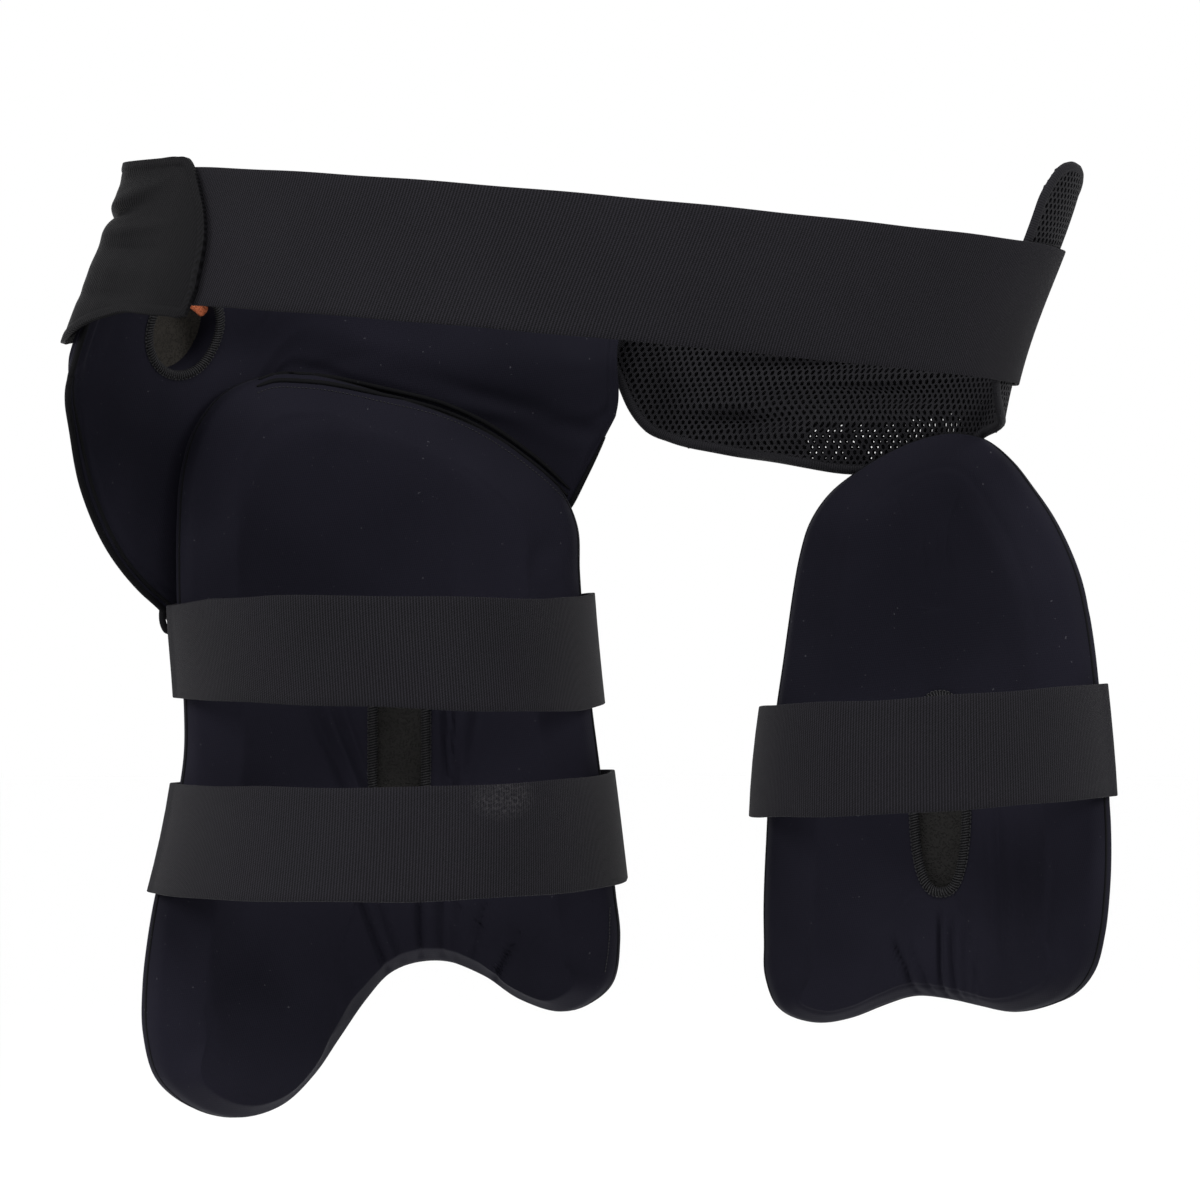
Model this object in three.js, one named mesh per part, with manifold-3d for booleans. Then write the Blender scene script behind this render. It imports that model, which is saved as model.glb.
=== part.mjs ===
// Cricket thigh guard, standing open as it is worn: a waist belt that carries a large pad for the
// front thigh and a smaller pad for the other leg, each held by elastic straps behind the leg.
// Millimetres. +X is the wearer's right, +Y the wearer's front, +Z up.
// The origin is the middle of the waist loop, at the height of the waist strap.

import * as THREE from "three";
import { mergeVertices } from "three/addons/utils/BufferGeometryUtils.js";
import Module from "manifold-3d";

const manifold = await Module();
manifold.setup();

// Cloth and clearances
const COVER_WALL = 1.3; // stretch cloth of a padded cover, with its seam allowance
const ELASTIC = 2; // every woven elastic strap
const TAB_THICKNESS = 2.2; // hook-and-loop tab on the left hip
const MESH_THICKNESS = 3; // spacer mesh of the waist panel
const CLEARANCE = 0.3; // between neighbours that touch
const SEAT = 0.8; // between curved neighbours, which allows for their flat facets

// Waist loop, seen from above as an oval
const LOOP_HALF_WIDTH = 207;
const LOOP_HALF_DEPTH = 95;
const HIP_LEAN = 0.4; // slope of the belt at the hips
const HIP_LEAN_REACH = 26; // the most that the belt moves sideways by leaning
const TUCK = 15; // how far the belt's lower edge comes in towards the thighs
const TUCK_HEIGHT = 70; // height over which it comes in
const BELT_HALF_HEIGHT = 28; // from the middle of the belt to the upper edge of its panels

// Waist strap
const WAIST_STRAP_WIDTH = 60;
const WAIST_STRAP_TILT = -0.088; // slope of the strap, lower on the wearer's right

// Hip tab
const TAB_HEIGHT = 70;

// Hip pad: a padded panel round the left hip
const HIP_PAD_THICKNESS = 12;
const HIP_PAD_EDGE = 6; // thickness at the edge of its foam
const HIP_PAD_HEIGHT = 160; // from the middle of the belt down to the tip of its wing
const HIP_HOLE_RADIUS = 21.5; // round pocket opening on its inner face

// Mesh panel round the right half of the waist
const MESH_DROP = 87; // from the middle of the belt down to its lowest edge
const TONGUE_RISE = 52; // from the middle of the belt up to its rounded end

// Thigh pad, left leg
const THIGH_PAD_WIDTH = 223;
const THIGH_PAD_HEIGHT = 344;
const THIGH_PAD_TOP = -40; // height of its upper edge
const THIGH_PAD_THICKNESS = 23;
const THIGH_PAD_BEND = 190; // radius round the thigh
const THIGH_PAD_ACROSS = -0.461; // its middle, as a share of the loop's half width
const THIGH_PAD_BACK = 6; // its outer face, in from the front of the loop
const THIGH_PAD_TURN = 8; // degrees round the leg

// Inner thigh pad, right leg
const INNER_PAD_WIDTH = 164;
const INNER_PAD_HEIGHT = 269;
const INNER_PAD_TOP = -69;
const INNER_PAD_THICKNESS = 21;
const INNER_PAD_BEND = 150;
const INNER_PAD_ACROSS = 0.813;
const INNER_PAD_BACK = 63;
const INNER_PAD_TURN = -18;

// Both pads
const PAD_RIM = 10; // thickness at the rim
const PAD_CHAMFER = 20; // width of the slope between the rim and the full thickness
const PAD_EDGE_ROUND = 3;
const SPINE_SHARES = [0.85, 0.42]; // lines of facets on a pad's faces, as shares of the way in
const SLOT_WIDTH = 29; // pocket opening through which the foam goes in
const SLOT_LENGTH = 84;

// Thigh straps
const THIGH_STRAP_WIDTH = 50;
const THIGH_STRAP_BULGE = 118; // how far a strap stands out behind the left thigh
const INNER_STRAP_BULGE = 88;
const STRAP_RUN = 34; // length of a strap's sewn end on a pad's outer face

// Piping
const HEM_PIPING = 3.2;

const OUTLINE_POINTS = 46;
const DEGREE = Math.PI / 180;

const CLOTH = { color: 0x17171f, roughness: 0.55, metalness: 0 };
const FOAM = { color: 0x37322e, roughness: 0.95, metalness: 0 };
const WEBBING = { color: 0x242328, roughness: 0.8, metalness: 0 };
const TAB_CLOTH = { color: 0x1c1c22, roughness: 0.75, metalness: 0 };
const NET = { color: 0x18181c, roughness: 0.85, metalness: 0 };

// Outline of the thigh pad, as shares of its width from the middle and of its height from the top.
// It runs from the dome's top down the inner side, round two lobes and up the outer side.
const THIGH_PAD_OUTLINE = [
  { across: -0.147, down: 0.0 },
  { across: 0.047, down: 0.031 },
  { across: 0.228, down: 0.075 },
  { across: 0.372, down: 0.143 },
  { across: 0.415, down: 0.195 },
  { across: 0.426, down: 0.291 },
  { across: 0.445, down: 0.426 },
  { across: 0.472, down: 0.573 },
  { across: 0.496, down: 0.72 },
  { across: 0.5, down: 0.777 },
  { across: 0.473, down: 0.835 },
  { across: 0.379, down: 0.862 },
  { across: 0.288, down: 0.835 },
  { across: 0.208, down: 0.804 },
  { across: 0.13, down: 0.795 },
  { across: 0.053, down: 0.804 },
  { across: -0.041, down: 0.857 },
  { across: -0.125, down: 0.933 },
  { across: -0.21, down: 0.984 },
  { across: -0.306, down: 1.0 },
  { across: -0.413, down: 0.978 },
  { across: -0.483, down: 0.927 },
  { across: -0.5, down: 0.833 },
  { across: -0.479, down: 0.715 },
  { across: -0.438, down: 0.604 },
  { across: -0.413, down: 0.498 },
  { across: -0.419, down: 0.398 },
  { across: -0.428, down: 0.305 },
  { across: -0.424, down: 0.172 },
  { across: -0.402, down: 0.092 },
  { across: -0.334, down: 0.029 },
  { across: -0.253, down: 0.005 },
];

// Outline of the inner thigh pad in the same shares, from its top down the right side.
const INNER_PAD_OUTLINE = [
  { across: 0.019, down: 0.0 },
  { across: 0.101, down: 0.007 },
  { across: 0.17, down: 0.033 },
  { across: 0.237, down: 0.078 },
  { across: 0.308, down: 0.132 },
  { across: 0.397, down: 0.233 },
  { across: 0.439, down: 0.332 },
  { across: 0.463, down: 0.432 },
  { across: 0.493, down: 0.597 },
  { across: 0.5, down: 0.712 },
  { across: 0.483, down: 0.829 },
  { across: 0.449, down: 0.897 },
  { across: 0.403, down: 0.932 },
  { across: 0.346, down: 0.954 },
  { across: 0.206, down: 0.975 },
  { across: 0.057, down: 0.963 },
  { across: -0.086, down: 0.955 },
  { across: -0.224, down: 0.98 },
  { across: -0.329, down: 1.0 },
  { across: -0.43, down: 0.987 },
  { across: -0.483, down: 0.957 },
  { across: -0.5, down: 0.824 },
  { across: -0.493, down: 0.672 },
  { across: -0.479, down: 0.52 },
  { across: -0.447, down: 0.367 },
  { across: -0.415, down: 0.231 },
  { across: -0.39, down: 0.164 },
  { across: -0.339, down: 0.108 },
  { across: -0.224, down: 0.052 },
  { across: -0.086, down: 0.012 },
];

// Hip pad, a row for each upright line round the loop: degrees from the wearer's right, and the
// lower ends of its foam and of its cloth. The wing's are shares of the hip pad's height.
const HIP_WING_LINES = [
  { degrees: 184, foam: 0.225, cloth: 0.275 },
  { degrees: 181.5, foam: 0.24, cloth: 0.3 },
  { degrees: 176, foam: 0.288, cloth: 0.35 },
  { degrees: 169.6, foam: 0.363, cloth: 0.425 },
  { degrees: 161.6, foam: 0.531, cloth: 0.594 },
  { degrees: 153, foam: 0.7, cloth: 0.763 },
  { degrees: 145.8, foam: 0.813, cloth: 0.875 },
  { degrees: 141, foam: 0.865, cloth: 0.941 },
  { degrees: 138, foam: 0.87, cloth: 1.0 },
  { degrees: 134, foam: 0.75, cloth: 0.875 },
  { degrees: 130, foam: 0.42, cloth: 0.6 },
];

// Its front ends over the thigh pad: there they are shares of that pad's height, down from its top.
const HIP_FRONT_LINES = [
  { degrees: 126, foam: -0.009, cloth: 0.056 },
  { degrees: 122, foam: -0.014, cloth: 0.044 },
  { degrees: 115, foam: 0.007, cloth: 0.051 },
  { degrees: 108, foam: 0.023, cloth: 0.067 },
  { degrees: 102, foam: 0.044, cloth: 0.084 },
  { degrees: 95, foam: 0.058, cloth: 0.116 },
  { degrees: 89, foam: 0.067, cloth: 0.16 },
  { degrees: 85, foam: 0.063, cloth: 0.181 },
  { degrees: 83.2, foam: 0.058, cloth: 0.14 },
  { degrees: 81.8, foam: 0.047, cloth: 0.102 },
  { degrees: 80.4, foam: 0.037, cloth: 0.056 },
];

// The same lines with their ends as heights.
const lineEnds = (lines, start, size) =>
  lines.map(({ degrees, foam, cloth }) => ({
    degrees,
    foam: start - foam * size,
    cloth: start - cloth * size,
  }));
const HIP_PAD_LINES = [
  ...lineEnds(HIP_WING_LINES, 0, HIP_PAD_HEIGHT),
  ...lineEnds(HIP_FRONT_LINES, THIGH_PAD_TOP, THIGH_PAD_HEIGHT),
];

// Mesh panel, a row for each upright line: its lower end as a share of MESH_DROP, and its upper end
// as a share of the way from the belt's upper edge to the tongue's top.
const MESH_LINES = [
  { degrees: 83.5, drop: 0.37, rise: 0 },
  { degrees: 81.3, drop: 0.485, rise: 0 },
  { degrees: 78.6, drop: 0.66, rise: 0 },
  { degrees: 76.4, drop: 0.757, rise: 0 },
  { degrees: 73, drop: 0.816, rise: 0 },
  { degrees: 65.6, drop: 0.882, rise: 0 },
  { degrees: 58.1, drop: 0.932, rise: 0 },
  { degrees: 52.6, drop: 0.971, rise: 0 },
  { degrees: 46.5, drop: 1.0, rise: 0 },
  { degrees: 38, drop: 0.99, rise: 0 },
  { degrees: 30, drop: 0.97, rise: 0 },
  { degrees: 22, drop: 0.91, rise: 0.04 },
  { degrees: 14, drop: 0.82, rise: 0.28 },
  { degrees: 7, drop: 0.79, rise: 0.56 },
  { degrees: 0, drop: 0.77, rise: 0.77 },
  { degrees: -6, drop: 0.75, rise: 0.95 },
  { degrees: -12, drop: 0.67, rise: 1.0 },
  { degrees: -16.5, drop: 0.55, rise: 0.95 },
  { degrees: -20, drop: 0.35, rise: 0.8 },
  { degrees: -23.5, drop: 0.0, rise: 0.42 },
];

// Soft folds across the mesh panel: middle and half width in degrees, height and half height as
// shares of MESH_DROP, and how far each stands in towards the wearer, in mesh thicknesses.
const MESH_FOLDS = [
  { middle: 62, reach: 16, height: -0.62, spread: 0.07, depth: 0.9 },
  { middle: 50, reach: 18, height: -0.8, spread: 0.06, depth: 1.1 },
  { middle: 40, reach: 14, height: -0.5, spread: 0.08, depth: 0.8 },
  { middle: 74, reach: 8, height: -0.45, spread: 0.1, depth: 0.7 },
];

// Hip tab, a row for each upright line: upper and lower ends as shares of its height above the
// belt's middle, and how far it stands off the loop as a share of the hip pad's thickness.
const TAB_LINES = [
  { degrees: 150, upper: 0.7, lower: -0.3, off: 1.21 },
  { degrees: 158, upper: 0.72, lower: -0.34, off: 1.21 },
  { degrees: 166, upper: 0.73, lower: -0.38, off: 1.19 },
  { degrees: 173, upper: 0.73, lower: -0.41, off: 1.14 },
  { degrees: 179, upper: 0.73, lower: -0.42, off: 1.08 },
  { degrees: 185, upper: 0.73, lower: -0.38, off: 0.97 },
  { degrees: 191, upper: 0.73, lower: -0.31, off: 0.62 },
  { degrees: 197, upper: 0.73, lower: -0.27, off: 0.3 },
  { degrees: 203, upper: 0.73, lower: -0.25, off: 0.19 },
  { degrees: 206.5, upper: 0.71, lower: -0.26, off: 0.19 },
  { degrees: 209, upper: 0.63, lower: -0.27, off: 0.19 },
  { degrees: 212, upper: 0.49, lower: -0.28, off: 0.19 },
  { degrees: 215, upper: 0.32, lower: -0.29, off: 0.19 },
  { degrees: 217, upper: 0.15, lower: -0.3, off: 0.19 },
  { degrees: 218.8, upper: -0.12, lower: -0.29, off: 0.19 },
];

// Waist strap, a row for each upright line: how far it stands off the loop, in mesh thicknesses,
// which takes it round the outside of the mesh panel's end.
const WAIST_STRAP_LINES = [
  { degrees: 206, off: 0 },
  { degrees: 240, off: 0 },
  { degrees: 270, off: 0 },
  { degrees: 315, off: 0 },
  { degrees: 328, off: 0.5 },
  { degrees: 336, off: 2.1 },
  { degrees: 345, off: 2.12 },
  { degrees: 360, off: 2.12 },
  { degrees: 372, off: 2.12 },
  { degrees: 385, off: 2.15 },
];

// Thigh straps and pocket openings: how far down their pad they lie, as shares of its height, and
// how far across it, as a share of its width. The tilt is a slope.
const THIGH_STRAPS = [
  { name: "thigh_strap_upper", down: 0.372, tilt: 0 },
  { name: "thigh_strap_lower", down: 0.615, tilt: 0.02 },
];
const INNER_STRAPS = [{ name: "inner_thigh_strap", down: 0.535, tilt: 0.06 }];
const THIGH_SLOT = { across: 0.045, down: 0.488 };
const INNER_SLOT = { across: -0.004, down: 0.603 };

const smooth = (value) => THREE.MathUtils.smoothstep(value, 0, 1);

// Value of a named column at a place in a table whose first column rises or falls steadily.
function tableAt(table, key, place, column) {
  const rising = table[table.length - 1][key] > table[0][key];
  const rows = rising ? table : [...table].reverse();
  const last = rows.length - 1;
  if (place <= rows[0][key]) return rows[0][column];
  if (place >= rows[last][key]) return rows[last][column];
  const next = rows.findIndex((row) => row[key] >= place);
  const share = (place - rows[next - 1][key]) / (rows[next][key] - rows[next - 1][key]);
  return THREE.MathUtils.lerp(rows[next - 1][column], rows[next][column], share);
}

// A BufferGeometry whose faces point out of the body that they close.
function closedBody(points, triangles) {
  const volume = triangles.reduce((sum, [a, b, c]) => {
    const cross = new THREE.Vector3().crossVectors(points[b], points[c]);
    return sum + points[a].dot(cross);
  }, 0);
  const facing = volume > 0 ? triangles : triangles.map(([a, b, c]) => [a, c, b]);
  const geometry = new THREE.BufferGeometry();
  const position = points.flatMap((point) => point.toArray());
  geometry.setAttribute("position", new THREE.Float32BufferAttribute(position, 3));
  geometry.setIndex(facing.flat());
  return geometry;
}

// A sheet with thickness: columns by rows of points on its inner and its outer face.
// pointAt(column, row, side) has side -1 on the inner face and 1 on the outer face.
function sheetBody(columns, rows, pointAt) {
  const points = [];
  for (const side of [-1, 1]) {
    for (let i = 0; i < columns; i += 1) {
      for (let j = 0; j < rows; j += 1) points.push(pointAt(i, j, side));
    }
  }
  const outer = columns * rows;
  const id = (i, j) => i * rows + j;
  const triangles = [];
  for (let i = 0; i < columns - 1; i += 1) {
    for (let j = 0; j < rows - 1; j += 1) {
      const [a, b, c, d] = [id(i, j), id(i + 1, j), id(i + 1, j + 1), id(i, j + 1)];
      triangles.push([a, b, c], [a, c, d]);
      triangles.push([outer + a, outer + c, outer + b], [outer + a, outer + d, outer + c]);
    }
  }
  const border = [];
  for (let i = 0; i < columns - 1; i += 1) border.push(id(i, 0));
  for (let j = 0; j < rows - 1; j += 1) border.push(id(columns - 1, j));
  for (let i = columns - 1; i > 0; i -= 1) border.push(id(i, rows - 1));
  for (let j = rows - 1; j > 0; j -= 1) border.push(id(0, j));
  border.forEach((a, k) => {
    const b = border[(k + 1) % border.length];
    triangles.push([a, outer + a, outer + b], [a, outer + b, b]);
  });
  return closedBody(points, triangles);
}

// A body through rings of equal counts of points, each a list of { flat, point }: flat is the
// point in the plane of the outline, by which the first and the last ring are capped.
function ringBody(rings) {
  const count = rings[0].length;
  const points = rings.flat().map((entry) => entry.point);
  const triangles = [];
  for (let r = 0; r < rings.length - 1; r += 1) {
    for (let k = 0; k < count; k += 1) {
      const next = (k + 1) % count;
      const [a, b] = [r * count + k, r * count + next];
      triangles.push([a, b, b + count], [a, b + count, a + count]);
    }
  }
  const cap = (ring, base, turned) => {
    const faces = THREE.ShapeUtils.triangulateShape(ring.map((entry) => entry.flat), []);
    for (const [a, b, c] of faces) {
      triangles.push(turned ? [base + a, base + c, base + b] : [base + a, base + b, base + c]);
    }
  };
  const clockwise = THREE.ShapeUtils.isClockWise(rings[0].map((entry) => entry.flat));
  cap(rings[0], 0, !clockwise);
  cap(rings[rings.length - 1], (rings.length - 1) * count, clockwise);
  return closedBody(points, triangles);
}

// The same geometry as a solid that can be joined and cut.
function solidOf(geometry) {
  const bare = geometry.clone();
  bare.deleteAttribute("normal");
  bare.deleteAttribute("uv");
  const merged = mergeVertices(bare, 1e-4);
  return new manifold.Manifold(
    new manifold.Mesh({
      numProp: 3,
      vertProperties: new Float32Array(merged.attributes.position.array),
      triVerts: new Uint32Array(merged.index.array),
    }),
  );
}

function geometryOf(solid) {
  const mesh = solid.getMesh();
  const geometry = new THREE.BufferGeometry();
  geometry.setAttribute("position", new THREE.BufferAttribute(mesh.vertProperties, 3));
  geometry.setIndex(new THREE.BufferAttribute(mesh.triVerts, 1));
  return geometry;
}

function namedMesh(name, geometry, look) {
  const mesh = new THREE.Mesh(geometry, new THREE.MeshStandardMaterial(look));
  mesh.name = name;
  geometry.computeVertexNormals();
  return mesh;
}

// A point off a surface given by two places, along its outward normal.
function offSurface(surface, u, v, distance, outwards) {
  const step = 0.05;
  const point = surface(u, v);
  const alongU = surface(u + step, v).sub(surface(u - step, v));
  const alongV = surface(u, v + step).sub(surface(u, v - step));
  const normal = alongU.cross(alongV).normalize();
  if (normal.dot(outwards(u, v)) < 0) normal.negate();
  return point.addScaledVector(normal, distance);
}

// A point round the waist loop: the belt leans at the hips and its lower part comes in.
function loopPoint(degrees, height, off) {
  const angle = degrees * DEGREE;
  const lean = HIP_LEAN_REACH * Math.tanh((HIP_LEAN * height) / HIP_LEAN_REACH);
  const low = smooth((-BELT_HALF_HEIGHT - height) / TUCK_HEIGHT);
  const depth = LOOP_HALF_DEPTH - TUCK * low;
  const x = (LOOP_HALF_WIDTH + off) * Math.cos(angle) + lean;
  return new THREE.Vector3(x, (depth + off) * Math.sin(angle), height);
}

const awayFromLoop = (degrees) =>
  new THREE.Vector3(Math.cos(degrees * DEGREE), Math.sin(degrees * DEGREE), 0);

// Pads. Each is bent round an upright axis; a place on it is its distance across from the middle,
// its height, and how far it lies off the cover's outer face, less than 0 towards the leg.
function padFrame(sizes) {
  const { width, height, top, bend, outline } = sizes;
  const control = outline.map(
    ({ across, down }) => new THREE.Vector3(across * width, 0, top - down * height),
  );
  const curve = new THREE.CatmullRomCurve3(control, true, "centripetal");
  const edge = curve.getSpacedPoints(OUTLINE_POINTS).slice(0, OUTLINE_POINTS);
  const spineTop = top - width / 2;
  const spineFoot = Math.min(spineTop, top - height + width / 2);
  const on = (x, z, off) => {
    const forward = Math.sqrt(bend * bend - x * x);
    return new THREE.Vector3(x + (off * x) / bend, forward - bend + (off * forward) / bend, z);
  };
  const edgeAt = (z, side) => {
    let reach = 0;
    edge.forEach((a, k) => {
      const b = edge[(k + 1) % edge.length];
      if ((a.z - z) * (b.z - z) > 0 || a.z === b.z) return;
      const x = THREE.MathUtils.lerp(a.x, b.x, (z - a.z) / (b.z - a.z));
      reach = side < 0 ? Math.min(reach, x) : Math.max(reach, x);
    });
    return reach;
  };
  return { ...sizes, edge, spineTop, spineFoot, on, edgeAt };
}

// The pad's own form at a depth inside its cover: 0 gives the cover's outside.
function padBody(pad, inside) {
  const count = pad.edge.length;
  const ring = (inset, towardsSpine, off) =>
    pad.edge.map(({ x, z }, k) => {
      const spine = new THREE.Vector2(0, THREE.MathUtils.clamp(z, pad.spineFoot, pad.spineTop));
      const start = new THREE.Vector2(x, z);
      const [before, after] = [pad.edge[(k + count - 1) % count], pad.edge[(k + 1) % count]];
      const inward = new THREE.Vector2(after.z - before.z, before.x - after.x).normalize();
      const towards = spine.clone().sub(start).normalize();
      inward.lerp(towards, (0.6 * inset) / PAD_CHAMFER).normalize();
      const flat = start.addScaledVector(inward, inset + inside).lerp(spine, towardsSpine);
      return { flat, point: pad.on(flat.x, flat.y, off) };
    });
  const [nearSpine, halfway] = SPINE_SHARES;
  const outerFace = -inside;
  const rimFace = -PAD_RIM + inside;
  const innerFace = -pad.thickness + inside;
  return ringBody([
    ring(PAD_EDGE_ROUND, nearSpine, outerFace),
    ring(PAD_EDGE_ROUND, halfway, outerFace),
    ring(PAD_EDGE_ROUND, 0, outerFace),
    ring(0, 0, -PAD_RIM / 2),
    ring(PAD_EDGE_ROUND, 0, rimFace),
    ring(PAD_CHAMFER, 0, innerFace),
    ring(PAD_CHAMFER, halfway, innerFace),
    ring(PAD_CHAMFER, nearSpine, innerFace),
  ]);
}

// A prism of an outline with round ends, which opens a cover's inner wall.
function slotCutter(pad, slot) {
  const radius = SLOT_WIDTH / 2;
  const straight = SLOT_LENGTH / 2 - radius;
  const shape = new THREE.Shape();
  shape.absarc(0, straight, radius, 0, Math.PI, false);
  shape.absarc(0, -straight, radius, Math.PI, 2 * Math.PI, false);
  const depth = pad.thickness;
  const prism = new THREE.ExtrudeGeometry(shape, { depth, bevelEnabled: false, curveSegments: 9 });
  prism.rotateX(90 * DEGREE);
  const across = slot.across * pad.width;
  prism.rotateZ(-Math.atan2(across, pad.bend));
  const start = pad.on(across, pad.top - slot.down * pad.height, -pad.thickness / 2);
  return prism.translate(start.x, start.y, start.z);
}

function padPieces(pad, prefix, slot) {
  const outside = solidOf(padBody(pad, 0));
  const pocket = solidOf(padBody(pad, COVER_WALL));
  const cover = outside.subtract(pocket).subtract(solidOf(slotCutter(pad, slot)));
  return [
    namedMesh(prefix + "cover", geometryOf(cover), CLOTH),
    namedMesh(prefix + "foam", padBody(pad, COVER_WALL + 2 * CLEARANCE), FOAM),
  ];
}

// Plan of a strap at one height: from its sewn end on the pad's outer face round the rim, behind
// the leg in half an oval, and round the other rim to its other sewn end.
function strapPlan(pad, z, bulge) {
  const off = SEAT + ELASTIC / 2;
  const side = (sign) => {
    const x = pad.edgeAt(z, sign);
    const inner = -PAD_RIM - off;
    return [
      [x - sign * STRAP_RUN, off],
      [x - sign * STRAP_RUN * 0.5, off],
      [x - sign * PAD_EDGE_ROUND, off],
      [x + sign * off * 0.75, off * 0.2],
      [x + sign * off, -PAD_RIM / 2],
      [x + sign * off * 0.75, inner - off * 0.2],
    ].map(([across, away]) => pad.on(across, z, away));
  };
  const start = side(-1);
  const end = side(1).reverse();
  const [from, to] = [start[start.length - 1], end[0]];
  const steps = 15;
  const span = [];
  for (let k = 1; k < steps; k += 1) {
    const angle = (Math.PI * k) / steps;
    const point = from.clone().lerp(to, (1 - Math.cos(angle)) / 2);
    point.y -= bulge * Math.sin(angle);
    span.push(point);
  }
  return [...start, ...span, ...end];
}

function strapBody(pad, strap) {
  const levels = [-0.5, 0, 0.5];
  const height = pad.top - strap.down * pad.height;
  const middle = strapPlan(pad, height, pad.strapBulge);
  const plans = levels.map((level) => {
    const z = height + level * THIGH_STRAP_WIDTH;
    return strapPlan(pad, z, pad.strapBulge).map((point, k) => {
      point.z = z + strap.tilt * middle[k].x;
      return point;
    });
  });
  const count = middle.length;
  return sheetBody(count, levels.length, (i, j, side) => {
    const before = plans[j][Math.max(i - 1, 0)];
    const after = plans[j][Math.min(i + 1, count - 1)];
    const along = after.clone().sub(before).setZ(0).normalize();
    const normal = new THREE.Vector3(-along.y, along.x, 0);
    return plans[j][i].clone().addScaledVector(normal, (side * ELASTIC) / 2);
  });
}

const thighPad = padFrame({
  width: THIGH_PAD_WIDTH,
  height: THIGH_PAD_HEIGHT,
  top: THIGH_PAD_TOP,
  thickness: THIGH_PAD_THICKNESS,
  bend: THIGH_PAD_BEND,
  outline: THIGH_PAD_OUTLINE,
  place: [THIGH_PAD_ACROSS * LOOP_HALF_WIDTH, LOOP_HALF_DEPTH - THIGH_PAD_BACK, 0],
  turn: THIGH_PAD_TURN * DEGREE,
  strapBulge: THIGH_STRAP_BULGE,
});

const innerPad = padFrame({
  width: INNER_PAD_WIDTH,
  height: INNER_PAD_HEIGHT,
  top: INNER_PAD_TOP,
  thickness: INNER_PAD_THICKNESS,
  bend: INNER_PAD_BEND,
  outline: INNER_PAD_OUTLINE,
  place: [INNER_PAD_ACROSS * LOOP_HALF_WIDTH, LOOP_HALF_DEPTH - INNER_PAD_BACK, 0],
  turn: INNER_PAD_TURN * DEGREE,
  strapBulge: INNER_STRAP_BULGE,
});

// Depth of a pad's outer face, moved out by a distance, in front of a place across the belt.
function inFrontOfPad(pad, x, away) {
  const radius = pad.bend + away;
  const centreX = pad.place[0] + pad.bend * Math.sin(pad.turn);
  const centreY = pad.place[1] - pad.bend * Math.cos(pad.turn);
  const across = THREE.MathUtils.clamp(x - centreX, -0.9 * radius, 0.9 * radius);
  return centreY + Math.sqrt(radius * radius - across * across);
}

// Height of the belt's upper edge, which slopes with the waist strap.
function beltTop(degrees) {
  return BELT_HALF_HEIGHT + WAIST_STRAP_TILT * LOOP_HALF_WIDTH * Math.cos(degrees * DEGREE);
}

// Hip pad: its middle surface leaves the loop near the thigh pad and lies on that pad's outer face.
function hipSurface(degrees, height) {
  const point = loopPoint(degrees, height, HIP_PAD_THICKNESS / 2);
  const front = smooth((132 - degrees) / 10);
  const wingAway = HIP_PAD_THICKNESS / 2 + ELASTIC + 2 * SEAT;
  const away = THREE.MathUtils.lerp(wingAway, COVER_WALL + SEAT, front);
  const onPad = inFrontOfPad(thighPad, point.x, away);
  const seated = THREE.MathUtils.lerp(Math.max(point.y, onPad), onPad, front);
  const low = smooth((0.1 * THIGH_PAD_TOP - height) / (-0.8 * THIGH_PAD_TOP));
  const near = smooth((152 - degrees) / 7);
  point.y = THREE.MathUtils.lerp(point.y, seated, low * near);
  return point;
}

// A step off the lower end of the foam at one of the hip pad's lines, square to the line of ends.
function footStep(line, distance) {
  const before = HIP_PAD_LINES[Math.max(line - 1, 0)];
  const after = HIP_PAD_LINES[Math.min(line + 1, HIP_PAD_LINES.length - 1)];
  const mmPerDegree = LOOP_HALF_DEPTH * DEGREE;
  const run = (after.degrees - before.degrees) * mmPerDegree;
  const slope = (after.foam - before.foam) / run;
  const scale = distance / Math.hypot(slope, 1);
  return { degrees: (scale * slope) / mmPerDegree, height: -scale };
}

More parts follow.
